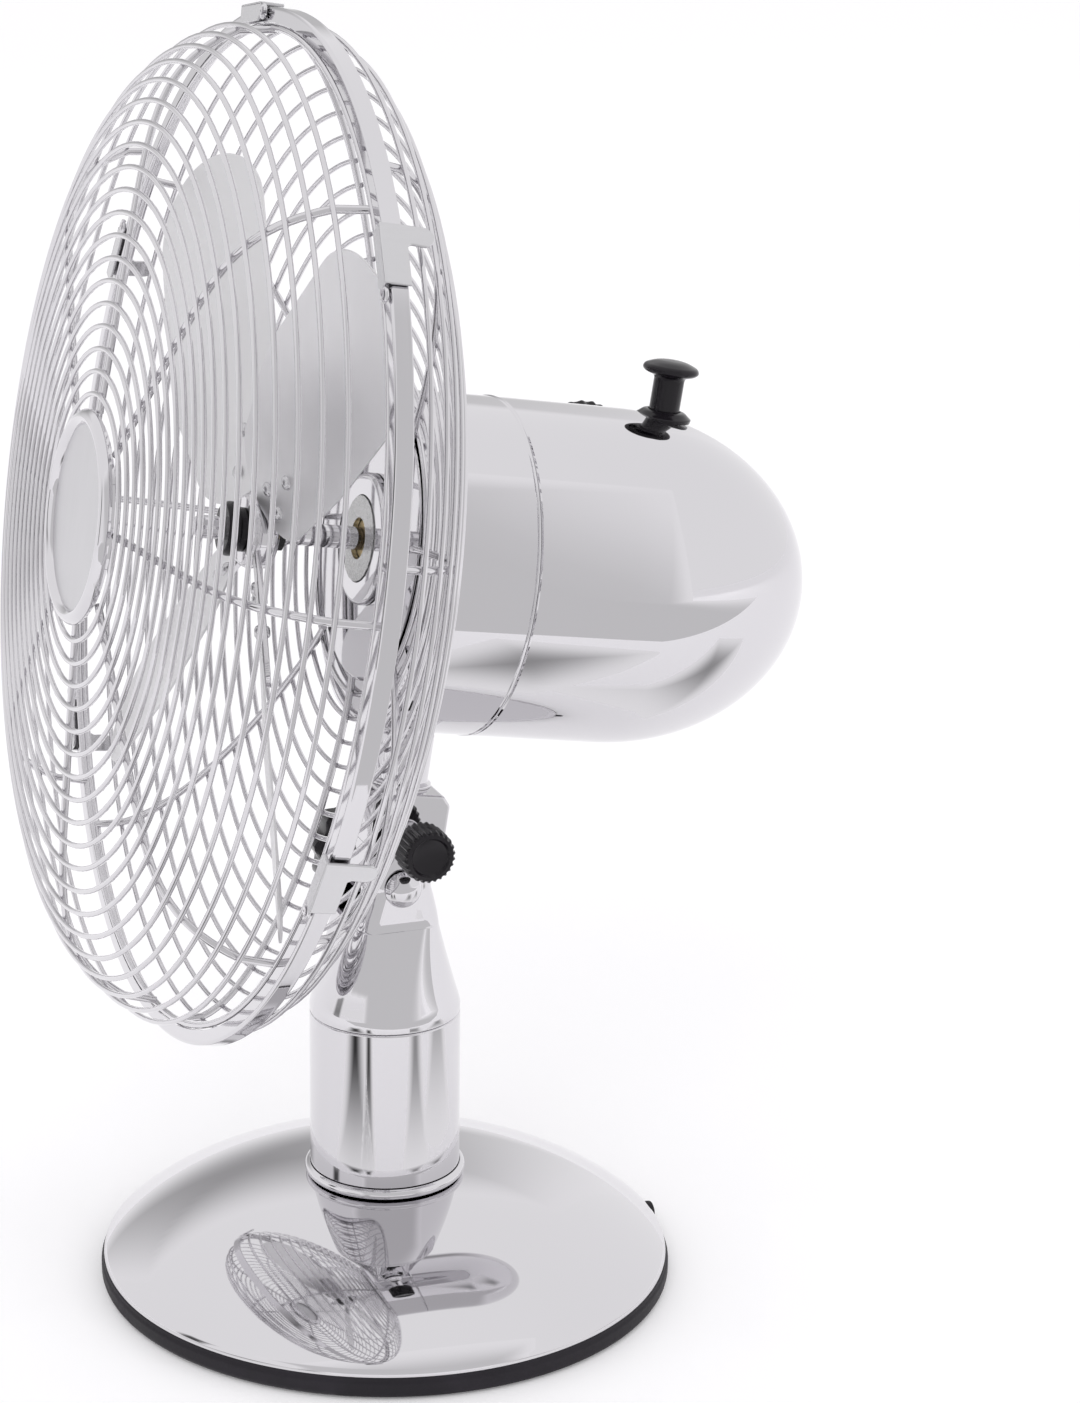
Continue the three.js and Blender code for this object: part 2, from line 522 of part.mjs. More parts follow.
const frontHub = boxRing(24, BADGE_R - 2, frontY(30) - 0.9, frontY(30) + 1.5);
add(headFrame, 'front_guard', guard(
  frontY, [72, 110, 146], frontHub, FRONT_SEAT_R, -2.4, [32, 64, 100, 132, 150, 160, 166], 3.6,
), CHROME);
const rearHub = boxRing(18, REAR_FLAT_R, BACK_DEPTH - 0.4, BACK_DEPTH + 0.9);
add(headFrame, 'rear_guard', guard(
  rearY, [80, 118, 152], rearHub, REAR_SEAT_R, 0, [40, 70, 100, 130, 152, 165, 170], 8,
), CHROME);

// the hoop: a band with a flange turned inwards at the front
add(headFrame, 'guard_hoop', hoopAxis(ringY([
  [FLANGE_R, -HALF_W], [HOOP_R - 1, -HALF_W], [HOOP_R, -HALF_W + 1], [HOOP_R, HALF_W],
  [HOOP_R - SHEET, HALF_W], [HOOP_R - SHEET, -HALF_W + SHEET], [FLANGE_R, -HALF_W + SHEET],
], 36)), CHROME);
add(headFrame, 'guard_nut', onShaftAxis(ringY(
  [[22, HOUSING_FRONT_Y - 5.5], [23, HOUSING_FRONT_Y - 4.5], [23, HOUSING_FRONT_Y - 2.3],
    [15.3, HOUSING_FRONT_Y - 2.3], [15.3, HOUSING_FRONT_Y - 5.5]], 20,
)), CHROME);

const BADGE_Y = frontY(30) - WIRE - GAP;
add(headFrame, 'badge_ring', hoopAxis(ringY([
  [BADGE_R - 1.2, BADGE_Y - GAP], [BADGE_R, BADGE_Y - 1.6], [BADGE_R - 1.4, BADGE_Y - 3.4],
  [BADGE_R - 3.4, BADGE_Y - 3.6], [BADGE_R - 5, BADGE_Y - 1.8], [BADGE_R - 5, BADGE_Y - GAP],
].reverse(), 28)), CHROME);
add(headFrame, 'badge_disc', hoopAxis(turnedY(
  disc(BADGE_R - 5 - GAP, BADGE_Y - 1.6, BADGE_Y - GAP), 28,
)), SATIN_ALUMINIUM);

// ---------------------------------------------------------------- guard clips

// Each clip is a bent plate over the hoop. Drawn flat: x along the rim, y towards the back.
function clip() {
  const front = -HALF_W - 1.9;
  const s = new THREE.Shape();
  s.moveTo(0, front);
  s.lineTo(21, front);
  s.lineTo(21, HALF_W + 0.6);
  s.lineTo(19.5, HALF_W + 8);
  s.lineTo(14.5, HALF_W + 8);
  s.lineTo(13.5, HALF_W + 0.6);
  s.lineTo(0, HALF_W + 0.6);
  const top = plate(s, 1.2, 3);
  const lip = box(0, 21, front, front + 1.1, -5.4, 0.6);
  const lug = box(-5, 1, front, front + 1.1, -4, 1.2);
  return join(top, lip, lug);
}

const clipAngles = [-9, 50, 116, 232, 294].map(THREE.MathUtils.degToRad);
clipAngles.forEach((angle, i) => {
  const placed = clip().rotateZ(Math.PI).scale(1, -1, 1);
  placed.index.array.reverse();
  placed.translate(7, 0, HOOP_R + GAP).rotateY(angle);
  add(headFrame, `guard_clip_${i + 1}`, hoopAxis(placed), CHROME);
});

export default fan;
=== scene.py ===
# %% [markdown]
# # A chrome table fan
# The fan stands on a mirror-plated dome and column. Its head tilts and swings, and carries a motor
# housing, four satin blades and a cage of thin plated wires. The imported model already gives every
# piece its place. This lesson gives each visible piece its real shape and its real finish.

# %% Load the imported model
import json
import math

import bmesh
import bpy
from mathutils import Matrix, Vector


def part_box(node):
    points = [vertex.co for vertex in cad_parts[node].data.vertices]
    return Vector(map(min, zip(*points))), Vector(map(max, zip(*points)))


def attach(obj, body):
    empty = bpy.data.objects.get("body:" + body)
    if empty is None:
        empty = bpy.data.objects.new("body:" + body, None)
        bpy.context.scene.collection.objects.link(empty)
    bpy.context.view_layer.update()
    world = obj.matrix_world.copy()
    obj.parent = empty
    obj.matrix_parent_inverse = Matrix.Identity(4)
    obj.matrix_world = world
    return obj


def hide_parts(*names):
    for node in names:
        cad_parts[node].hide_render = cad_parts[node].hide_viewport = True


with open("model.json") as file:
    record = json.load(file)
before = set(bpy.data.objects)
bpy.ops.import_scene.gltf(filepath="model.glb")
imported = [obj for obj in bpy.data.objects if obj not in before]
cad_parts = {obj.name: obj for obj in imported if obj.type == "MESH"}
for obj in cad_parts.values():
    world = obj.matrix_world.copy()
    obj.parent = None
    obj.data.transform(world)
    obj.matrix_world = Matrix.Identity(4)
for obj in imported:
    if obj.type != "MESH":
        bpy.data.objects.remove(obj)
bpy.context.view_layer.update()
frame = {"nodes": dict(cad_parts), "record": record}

# %% [markdown]
# ## Landmarks
# The pieces are drawn in millimetres, because that is how a maker reads a drawing. Two matrices put
# them in place: one for the upright stand, one for the head, which leans back a little. The head's
# frame comes from the joints themselves: its origin is the tilt pivot, its third axis is the swivel
# axis and its second axis is the blades' axis, pointing backwards.

# %% Landmarks from the joints
recorded = {joint["name"]: joint for joint in frame["record"]["behaviour"]["joints"]}
PIVOT = Vector(recorded["head_tilt"]["pos_m"])
UP = Vector(recorded["head_swivel"]["axis"]).normalized()
BACK = Vector(recorded["blade_spin"]["axis"]).normalized()
RIGHT = BACK.cross(UP)
spin_point = Vector(recorded["blade_spin"]["pos_m"]) - PIVOT
AXIS_Z = spin_point.dot(UP) * 1000
HUB_Y = spin_point.dot(BACK) * 1000
MM = Matrix.Scale(0.001, 4)
STAND = MM
HEAD = Matrix.Translation(PIVOT) @ Matrix((RIGHT, BACK, UP)).transposed().to_4x4() @ MM
BASE_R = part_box("base_rim")[1].x * 1000
RIM_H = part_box("base_rim")[1].z * 1000
COLUMN_R = 27.2
COLUMN_FOOT = 39.7
SHOULDER = 101.0
NECK_TOP = 137.0
PIVOT_Z = PIVOT.z * 1000
print("shaft height above the pivot", round(AXIS_Z, 1), "hub station", round(HUB_Y, 1), "mm")

# %% [markdown]
# ## Camera
# The view is slightly from above and almost side on, with the blades to the left. A long lens keeps
# the cage's ellipse from looking stretched. The small shift only places the fan in the tall frame.

# %% Camera
camera_data = bpy.data.cameras.new("camera")
camera = bpy.data.objects.new("camera", camera_data)
bpy.context.scene.collection.objects.link(camera)
LOOK_AT = Vector((0, 0, 0.230))
CAMERA_AZIMUTH = math.radians(71.2)
CAMERA_ELEVATION = math.radians(16.6)
CAMERA_DISTANCE = 1.200
camera_side = Vector((
    math.sin(CAMERA_AZIMUTH) * math.cos(CAMERA_ELEVATION),
    -math.cos(CAMERA_AZIMUTH) * math.cos(CAMERA_ELEVATION),
    math.sin(CAMERA_ELEVATION),
))
camera.location = LOOK_AT + camera_side * CAMERA_DISTANCE
camera.rotation_mode = "QUATERNION"
camera.rotation_quaternion = (-camera_side).to_track_quat("-Z", "Y")
camera_data.sensor_width = 36
camera_data.lens = 88.06
camera_data.shift_x = 0.1106
camera_data.shift_y = -0.0270
camera_data.dof.use_dof = False
bpy.context.scene.camera = camera
print("camera at", [round(v, 3) for v in camera.location])

# %% [markdown]
# ## Studio
# Chrome has no colour of its own: it shows the room. So the studio is most of the look. The room and
# the floor are nearly white, and two soft lights shade the matte pieces and the floor. What makes
# plating look like metal is the contrast in its reflections. It comes from grey and dark sheets that
# only reflections meet: a curved wall on the near side, boards to the left, in front and behind, and
# strips on the floor. They fade into the room towards their edges, because a hard edge in a
# reflection would look like a sticker on the metal. Only the wall's foot, on the floor, stays sharp.

# %% Room and floor
scene = bpy.context.scene
scene.view_settings.view_transform = "Standard"
world = bpy.data.worlds.new("studio")
scene.world = world
world.use_nodes = True
world.node_tree.nodes["Background"].inputs["Color"].default_value = (0.97, 0.965, 0.975, 1)
world.node_tree.nodes["Background"].inputs["Strength"].default_value = 1.02

floor_mesh = bpy.data.meshes.new("studio_floor")
floor_mesh.from_pydata([(-30, -30, 0), (30, -30, 0), (30, 30, 0), (-30, 30, 0)], [], [(0, 1, 2, 3)])
floor_paint = bpy.data.materials.new("studio_floor")
floor_paint.use_nodes = True
paper = floor_paint.node_tree.nodes["Principled BSDF"]
paper.inputs["Base Color"].default_value = (0.86, 0.855, 0.865, 1)
paper.inputs["Roughness"].default_value = 0.9
paper.inputs["Emission Color"].default_value = (0.86, 0.855, 0.865, 1)
paper.inputs["Emission Strength"].default_value = 0.16
floor_mesh.materials.append(floor_paint)
studio_floor = bpy.data.objects.new("studio_floor", floor_mesh)
scene.collection.objects.link(studio_floor)
studio_floor.location.z = -0.0006
print("studio floor, in metres:", tuple(studio_floor.dimensions))


# %% Soft lights
def soft_light(name, place, aim, size, power):
    data = bpy.data.lights.new(name, "AREA")
    data.shape = "RECTANGLE"
    data.size, data.size_y = size
    data.energy = power
    light = bpy.data.objects.new(name, data)
    scene.collection.objects.link(light)
    light.location = place
    light.rotation_euler = (Vector(aim) - Vector(place)).to_track_quat("-Z", "Y").to_euler()
    light.visible_camera = False
    light.visible_glossy = False


soft_light("key", (2.2, -1.6, 2.6), (0, 0, 0.2), (1.6, 1.2), 17)
soft_light("fill", (1.8, 2.6, 1.5), (0, 0, 0.25), (1.2, 1.8), 9)

# %% A sheet that only reflections see
def smooth(t):
    """0 to 1 with a gentle start and end."""
    t = max(0, min(1, t))
    return t * t * (3 - 2 * t)


def toned_sheet(name, rows):
    """A sheet seen only in reflections. Each (point, brightness) of its grid has its own grey."""
    bm = bmesh.new()
    tone = bm.verts.layers.float_color.new("tone")
    grid = []
    for row in rows:
        line = []
        for point, bright in row:
            vert = bm.verts.new(point)
            vert[tone] = (bright, bright * 0.993, bright * 1.005, 1)
            line.append(vert)
        grid.append(line)
    for low, high in zip(grid, grid[1:]):
        for j in range(len(low) - 1):
            bm.faces.new((low[j], low[j + 1], high[j + 1], high[j]))
    mesh = bpy.data.meshes.new(name)
    bm.to_mesh(mesh)
    bm.free()
    paint = bpy.data.materials.new(name)
    paint.use_nodes = True
    nodes, links = paint.node_tree.nodes, paint.node_tree.links
    nodes.remove(nodes["Principled BSDF"])
    glow = nodes.new("ShaderNodeEmission")
    reader = nodes.new("ShaderNodeVertexColor")
    reader.layer_name = "tone"
    links.new(reader.outputs["Color"], glow.inputs["Color"])
    links.new(glow.outputs["Emission"], nodes["Material Output"].inputs["Surface"])
    mesh.materials.append(paint)
    sheet = bpy.data.objects.new(name, mesh)
    scene.collection.objects.link(sheet)
    sheet.visible_camera = False
    sheet.visible_diffuse = False
    sheet.visible_shadow = False
    print("sheet", name, "faces", len(mesh.polygons))


# %% Curved wall, board and floor strip
def soft_panel(name, y1, y2, shade):
    """A curved pale grey wall on the near side. Its sides and top fade into the white room."""
    outline = [(0.43 + 1.57 * k / 10, 0.0012) for k in range(11)]
    for k in range(1, 31):
        a = math.radians(-7 + 81 * k / 30)
        outline.append((2.0 * math.cos(a), 0.27 + 2.0 * math.sin(a)))
    rows = []
    for i, (x, z) in enumerate(outline):
        fades = [smooth(min((len(outline) - 1 - i) / 7, (32 - j) / 5, j / 5)) for j in range(33)]
        rows.append([
            (Vector((x, y1 + (y2 - y1) * j / 32, z)), 1.04 + (shade - 1.04) * fade)
            for j, fade in enumerate(fades)
        ])
    toned_sheet(name, rows)


def soft_board(name, centre, facing, width, height, shade, feather=0.4, spin=0.0, room=1.0):
    """A flat grey board whose edges fade into the room. Feather is the share that fades."""
    aim = (Vector(facing) - Vector(centre)).to_track_quat("Z", "Y").to_matrix().to_4x4()
    turn = Matrix.Translation(centre) @ aim @ Matrix.Rotation(spin, 4, "Z")
    rows = []
    for i in range(25):
        row = []
        for j in range(25):
            u, v = j / 24, i / 24
            fade = smooth(min(u, 1 - u, v, 1 - v) / feather)
            place = turn @ Vector(((u - 0.5) * width, (v - 0.5) * height, 0))
            row.append((place, room + (shade - room) * fade))
        rows.append(row)
    toned_sheet(name, rows)


def floor_strip(name, angle, near, far, spread, shade):
    """A dark strip on the floor that runs outwards from the fan, seen only in the upright plating."""
    heading = math.radians(angle)
    middle = Vector((math.cos(heading), math.sin(heading), 0)) * (near + far) / 2 + Vector((0, 0, 0.0004))
    soft_board(name, middle, middle + Vector((0, 0, 1)), far - near, spread, shade, 0.5, heading)


# %% Place the sheets
soft_panel("soft_grey_panel", -2.6, 1.5, 0.72)
soft_board("dark_left", (-0.4, -3.2, 0.7), (0, 0, 0.3), 1.0, 2.8, 0.10)
soft_board("grey_back", (-3.2, 0.3, 1.0), (0, 0, 0.3), 4.6, 2.4, 0.40, 0.5)
soft_board("grey_front", (3.3, 0.7, 0.25), (0, 0, 0.25), 2.2, 0.9, 0.36)
floor_strip("strip_left", -62, 0.10, 0.42, 0.13, 0.03)
floor_strip("strip_middle", -42, 0.10, 0.40, 0.05, 0.05)
floor_strip("strip_right", 26, 0.12, 0.40, 0.09, 0.35)
floor_strip("strip_back", 64, 0.14, 0.55, 0.14, 0.35)

# %% [markdown]
# ## Shader maths as Python
# A node tree gets hard to read once it holds a dozen Math nodes. Here a small class stands for one
# output socket and turns + and * into Math nodes, so a finish reads like a formula. Any other
# node comes from one method, which sets the node's own settings first and its sockets after.

# %% The socket wrapper
class Value:
    """A number that changes over the surface."""

    def __init__(self, finish, socket):
        self.finish = finish
        self.socket = socket

    def math(self, operation, first, second):
        """A Math node on two numbers, sockets or one of each."""
        return self.finish.node("ShaderNodeMath", {"operation": operation}, {0: first, 1: second})

    def __add__(self, other):
        return self.math("ADD", self, other)

    def __mul__(self, other):
        return self.math("MULTIPLY", self, other)

    __radd__ = __add__
    __rmul__ = __mul__


# %% The finish builder
class Finish:
    """One procedural material: a metal, plastic, rubber or felt of this fan."""

    def __init__(self, name, colour, metallic, roughness, **fixed):
        self.material = bpy.data.materials.new(name)
        self.material.use_nodes = True
        self.tree = self.material.node_tree
        self.shader = self.tree.nodes["Principled BSDF"]
        self.shader.inputs["Base Color"].default_value = (*colour, 1)
        self.shader.inputs["Metallic"].default_value = metallic
        self.shader.inputs["Roughness"].default_value = roughness
        for socket, value in fixed.items():
            self.shader.inputs[socket.replace("_", " ")].default_value = value
        self.place = self.node("ShaderNodeTexCoord", {}, {}, "Object")

    def node(self, kind, settings, inputs, output=0):
        made = self.tree.nodes.new(kind)
        for name, value in settings.items():
            if name == "stops":
                made.color_ramp.elements[0].position = value[0]
                made.color_ramp.elements[1].position = value[1]
            else:
                setattr(made, name, value)
        for name, value in inputs.items():
            if isinstance(value, Value):
                self.tree.links.new(value.socket, made.inputs[name])
            else:
                made.inputs[name].default_value = value
        return Value(self, made.outputs[output])

    def noise(self, scale, detail=3.0, stretch=(1, 1, 1)):
        """Soft random variation from 0 to 1, its grain stretched along one axis if asked."""
        where = self.node("ShaderNodeVectorMath", {"operation": "MULTIPLY"}, {0: self.place, 1: stretch})
        return self.node("ShaderNodeTexNoise", {}, {"Vector": where, "Scale": scale, "Detail": detail})

    def band(self, value, low, high):
        """0 below low and 1 above high, with a straight slope between."""
        return self.node("ShaderNodeValToRGB", {"stops": (low, high)}, {0: value})

    def mix(self, factor, first, second):
        return self.node("ShaderNodeMix", {"data_type": "RGBA"}, {
            0: factor, 6: (*first, 1), 7: (*second, 1),
        }, 2)

    def bump(self, height, strength, depth):
        return self.node("ShaderNodeBump", {}, {
            "Height": height, "Strength": strength, "Distance": depth,
        })

    def feed(self, **sockets):
        for name, value in sockets.items():
            self.tree.links.new(value.socket, self.shader.inputs[name.replace("_", " ")])


finishes = {}

# %% [markdown]
# ## Mirror plating
# Bright nickel-chrome over polished steel. It is nearly a perfect mirror, but not quite: polishing
# leaves a very shallow waviness in the sheet, and handling leaves faint smudges that only show as
# small changes in gloss. Both are kept weak, because a mirror exaggerates every bump.

# %% Mirror plating, and its wire version
def plating(name, waviness, colour=(0.67, 0.66, 0.68)):
    chrome = Finish(name, colour, 1.0, 0.03)
    smudge = chrome.band(chrome.noise(22, 4), 0.52, 0.72)
    haze = chrome.noise(160, 2)
    wave = chrome.noise(26, 1)
    tone = tuple(min(1, c * 1.05) for c in colour)
    chrome.feed(
        Base_Color=chrome.mix(chrome.noise(9, 2), colour, tone),
        Roughness=0.018 + smudge * 0.03 + haze * 0.014,
        Normal=chrome.bump(wave, waviness, 0.0005),
    )
    return chrome


finishes["chrome"] = plating("mirror_plating", 0.05)
finishes["wire_chrome"] = plating("wire_plating", 0.02, (0.66, 0.65, 0.67))
print("mirror plating nodes:", len(finishes["chrome"].tree.nodes))

# %% [markdown]
# ## Satin aluminium
# The blades, the badge disc and the clips are not mirrors: they are rolled or brushed, so they
# scatter light along fine lines. Stretched noise gives the lines, used for gloss and height.

# %% Satin aluminium
def satin(name, colour, stretch, roughness):
    metal = Finish(name, colour, 1.0, roughness)
    lines = metal.noise(260, 2, stretch)
    cloud = metal.noise(14, 3)
    metal.feed(
        Base_Color=metal.mix(cloud, colour, tuple(c * 0.9 for c in colour)),
        Roughness=roughness - 0.06 + lines * 0.12 + cloud * 0.05,
        Normal=metal.bump(lines, 0.12, 0.0001),
    )
    return metal


finishes["satin_aluminium"] = satin("satin_aluminium", (0.83, 0.825, 0.835), (1, 6, 0.12), 0.36)
finishes["satin_clip"] = satin("satin_clip_plate", (0.68, 0.675, 0.69), (3, 0.3, 3), 0.22)
finishes["badge_satin"] = satin("badge_satin", (0.62, 0.615, 0.63), (8, 1, 0.15), 0.30)
print("finishes so far:", sorted(finishes))

# %% [markdown]
# ## Black plastic and rubber
# The knobs are polished black mouldings, glossy with a trace of orange peel and small dull spots.
# The ring under the base is a soft, matte, very slightly purple rubber with a fine grain.

# %% Black plastic, rubber and felt
knob = Finish("glossy_black_plastic", (0.008, 0.007, 0.009), 0.0, 0.16, Specular_IOR_Level=0.3)
knob_dull = knob.band(knob.noise(60, 4), 0.5, 0.75)
knob.feed(
    Base_Color=knob.mix(knob.noise(30, 2), (0.006, 0.005, 0.007), (0.012, 0.010, 0.013)),
    Roughness=0.13 + knob_dull * 0.14 + knob.noise(500, 1) * 0.03,
    Normal=knob.bump(knob.noise(420, 2), 0.08, 0.0002),
)
finishes["black_plastic"] = knob

rubber = Finish("matte_black_rubber", (0.010, 0.008, 0.012), 0.0, 0.62, Specular_IOR_Level=0.3)
rubber_grain = rubber.noise(900, 2)
rubber_dust = rubber.band(rubber.noise(35, 5), 0.48, 0.8)
rubber.feed(
    Base_Color=rubber.mix(rubber_dust, (0.009, 0.007, 0.011), (0.022, 0.018, 0.026)),
    Roughness=0.5 + rubber_grain * 0.14 + rubber_dust * 0.12,
    Normal=rubber.bump(rubber_grain, 0.25, 0.0002),
)
finishes["black_rubber"] = rubber

felt = Finish("pressed_felt", (0.05, 0.048, 0.052), 0.0, 0.95)
felt_fibre = felt.noise(1200, 5, (1, 0.4, 1))
felt.feed(
    Base_Color=felt.mix(felt_fibre, (0.030, 0.029, 0.032), (0.085, 0.082, 0.088)),
    Roughness=0.85 + felt_fibre * 0.12,
    Normal=felt.bump(felt_fibre, 0.7, 0.0006),
)
finishes["felt"] = felt
print("dark finishes:", [f.material.name for f in (knob, rubber, felt)])

# %% [markdown]
# ## Inside metals
# The motor and gearbox are seen through the cage's centre and when the head is opened: turned steel
# with tool lines, a rough casting, enamelled windings, bearing brass and natural nylon gears.

# %% Inside metals and nylon
def turned_metal(name, colour, roughness, stretch, depth):
    metal = Finish(name, colour, 1.0, roughness)
    lines = metal.noise(380, 2, stretch)
    stain = metal.band(metal.noise(40, 4), 0.45, 0.8)
    metal.feed(
        Base_Color=metal.mix(stain, colour, tuple(c * 0.78 for c in colour)),
        Roughness=roughness - 0.05 + lines * 0.1 + stain * 0.08,
        Normal=metal.bump(lines, 0.2, depth),
    )
    return metal


finishes["steel"] = turned_metal("machined_steel", (0.56, 0.56, 0.555), 0.26, (1, 8, 1), 0.0001)
finishes["brass"] = turned_metal("bearing_brass", (0.66, 0.50, 0.24), 0.3, (1, 8, 1), 0.0001)
finishes["copper"] = turned_metal("enamelled_windings", (0.62, 0.27, 0.12), 0.34, (0.5, 14, 0.5), 0.0006)

iron = Finish("sand_cast_iron", (0.09, 0.087, 0.084), 0.75, 0.7)
iron_grain = iron.noise(240, 6)
iron.feed(
    Base_Color=iron.mix(iron_grain, (0.06, 0.058, 0.056), (0.16, 0.152, 0.145)),
    Roughness=0.58 + iron_grain * 0.28,
    Normal=iron.bump(iron_grain, 0.6, 0.0006),
)
finishes["cast_iron"] = iron

nylon = Finish("natural_nylon", (0.80, 0.77, 0.69), 0.0, 0.42)
nylon_cloud = nylon.noise(70, 3)
nylon.feed(
    Base_Color=nylon.mix(nylon_cloud, (0.78, 0.75, 0.66), (0.84, 0.81, 0.74)),
    Roughness=0.36 + nylon_cloud * 0.12,
    Normal=nylon.bump(nylon.noise(500, 2), 0.1, 0.0002),
)
finishes["nylon"] = nylon
print("all finishes:", len(finishes))

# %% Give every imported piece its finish
for entry in frame["record"]["subparts"]:
    node_object = frame["nodes"][entry["node"]]
    for slot in node_object.material_slots:
        slot.material = finishes[entry["material_slot"]].material

# %% [markdown]
# ## Making shapes
# Almost everything here was turned on a lathe, bent from wire or pressed from sheet. Three helpers
# cover that: a lathe that spins a profile, a sweep that runs a round section along a path, and a
# loft that joins a row of outlines. Profiles get small rounded corners first, because a mirror with
# a perfectly sharp corner has no edge highlight and looks like a drawing.

# %% Profiles with rounded corners
def rounded(corners, steps=5):
    """Points along a profile. Each corner is (radius, height) or (radius, height, rounding)."""
    points = []
    for i, corner in enumerate(corners):
        here = Vector(corner[:2])
        cut = corner[2] if len(corner) > 2 else 0
        if cut == 0 or i in (0, len(corners) - 1):
            points.append(here)
            continue
        before, after = Vector(corners[i - 1][:2]), Vector(corners[i + 1][:2])
        start = here + (before - here).normalized() * cut
        end = here + (after - here).normalized() * cut
        for k in range(steps + 1):
            t = k / steps
            points.append(start * (1 - t) ** 2 + here * 2 * t * (1 - t) + end * t ** 2)
    return points


# %% Loft and lathe
AXES = {
    "Z": Matrix.Identity(4),
    "Y": Matrix.Rotation(-math.pi / 2, 4, "X"),
    "X": Matrix.Rotation(math.pi / 2, 4, "Y"),
}


def loft(bm, loops, closed=False, caps=(False, False)):
    """Joins equal loops of points with faces, and may close the ends."""
    rows = [[bm.verts.new(p) for p in points] for points in loops]
    count = len(rows[0])
    pairs = list(zip(rows, rows[1:]))
    if closed:
        pairs.append((rows[-1], rows[0]))
    for low, high in pairs:
        for i in range(count):
            j = (i + 1) % count
            bm.faces.new((low[i], low[j], high[j], high[i]))
    if caps[0]:
        bm.faces.new(rows[0])
    if caps[1]:
        bm.faces.new(rows[-1])
    return rows


def lathe(bm, profile, axis="Z", centre=(0, 0, 0), segments=128, closed=False):
    """Spins a profile of (radius, height) points. Points on the axis close the ends."""
    turn = Matrix.Translation(centre) @ AXES[axis]
    points = list(profile)
    tips = [None, None]
    if points[0][0] < 1e-6:
        tips[0] = bm.verts.new(turn @ Vector((0, 0, points.pop(0)[1])))
    if points[-1][0] < 1e-6:
        tips[1] = bm.verts.new(turn @ Vector((0, 0, points.pop()[1])))
    angles = [2 * math.pi * k / segments for k in range(segments)]
    loops = [[turn @ Vector((r * math.cos(a), r * math.sin(a), h)) for a in angles] for r, h in points]
    rows = loft(bm, loops, closed)
    for tip, row in zip(tips, (rows[0], rows[-1])):
        if tip:
            for i in range(segments):
                bm.faces.new((tip, row[i], row[(i + 1) % segments]))


# %% Sweep and wire ring
def sweep(bm, path, radius, sides=8, closed=False):
    """A round wire along a path of points."""
    count = len(path)
    loops = []
    normal = None
    for i, point in enumerate(path):
        before = path[i - 1] if closed or i > 0 else point
        after = path[(i + 1) % count] if closed or i < count - 1 else point
        along = (after - before).normalized()
        if normal is None:
            normal = along.orthogonal()
        normal = (normal - along * normal.dot(along)).normalized()
        across = along.cross(normal)
        loops.append([
            point + normal * radius * math.cos(t) + across * radius * math.sin(t)
            for t in (2 * math.pi * k / sides for k in range(sides))
        ])
    loft(bm, loops, closed, (not closed, not closed))


def place_new(bm, before, place):
    """Moves only the vertices that were made since there were this many."""
    bm.verts.ensure_lookup_table()
    bmesh.ops.transform(bm, matrix=place, verts=bm.verts[before:])


def wire_ring(bm, radius, station, thickness, segments=128, sides=8):
    """One round wire bent to a hoop about the shaft."""
    section = [
        (radius + thickness * math.cos(t), station + thickness * math.sin(t))
        for t in (2 * math.pi * k / sides for k in range(sides))
    ]
    lathe(bm, section, "Y", (0, 0, AXIS_Z), segments, True)


# %% Turn a drawing into a piece
def piece(name, bm, place, body, finish, stands_for=(), corner=32):
    """Smooth shading with sharp corners kept, a finish, and the body the piece moves with."""
    bm.transform(place)
    bmesh.ops.recalc_face_normals(bm, faces=bm.faces)
    mesh = bpy.data.meshes.new(name)
    bm.to_mesh(mesh)
    bm.free()
    mesh.shade_smooth()
    mesh.set_sharp_from_angle(angle=math.radians(corner))
    mesh.materials.append(finishes[finish].material)
    made = bpy.data.objects.new(name, mesh)
    scene.collection.objects.link(made)
    weighted = made.modifiers.new("even shading", "WEIGHTED_NORMAL")
    weighted.keep_sharp = True
    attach(made, body)
    if stands_for:
        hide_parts(*stands_for)
    print(name, "faces", len(mesh.polygons))
    return made


# %% [markdown]
# ## Base
# A pressed, flattened dome of plated sheet over a cast weight, held in a soft black ring that is the
# fan's foot. The dome's curve is one formula: nearly flat by the column and steep at the rim. It is
# turned with many steps, because the whole cage is mirrored in it.

# %% Base dome and foot
DOME_RISE = 30.5
DOME_EDGE = 102.6
DOME_MOUTH = 24.6


def dome_height(r):
    return RIM_H + DOME_RISE * (1 - (r / BASE_R) ** 2.5) ** 0.85


bm = bmesh.new()
dome_radii = [DOME_EDGE - (DOME_EDGE - DOME_MOUTH) * (k / 44) ** 1.25 for k in range(45)]
dome = [(102.9, RIM_H - 0.6), (103.0, RIM_H + 0.4)] + [(r, dome_height(r)) for r in dome_radii]
lathe(bm, dome + [(12, dome_height(24)), (12, dome_height(24) - 2)], segments=192)
piece("base_dome", bm, STAND, "stand", "chrome", ["base_shell"])

bm = bmesh.new()
foot = rounded([
    (96.9, 0.2), (BASE_R - 1, 0.2, 0.8), (BASE_R, 1.6, 0.8), (BASE_R, RIM_H - 2.2, 0.6),
    (BASE_R - 0.6, RIM_H - 1.6, 0.3), (BASE_R - 0.7, RIM_H - 0.5, 0.3), (BASE_R - 1.6, RIM_H, 0.4),
    (98, RIM_H), (98, 3.4), (96.9, 3.4),
])
lathe(bm, foot, segments=192, closed=True)
piece("base_foot_ring", bm, STAND, "stand", "black_rubber", ["base_rim"])

# %% [markdown]
# ## Column and neck
# The column is a plain plated tube that stands in a rolled ring on the dome. Above it the neck turns
# from a circle into a rounded block with two flat cheeks for the tilt pivot. A loft does that: each
# level is a rounded rectangle, and at the shoulder its corner radius is the whole half width.

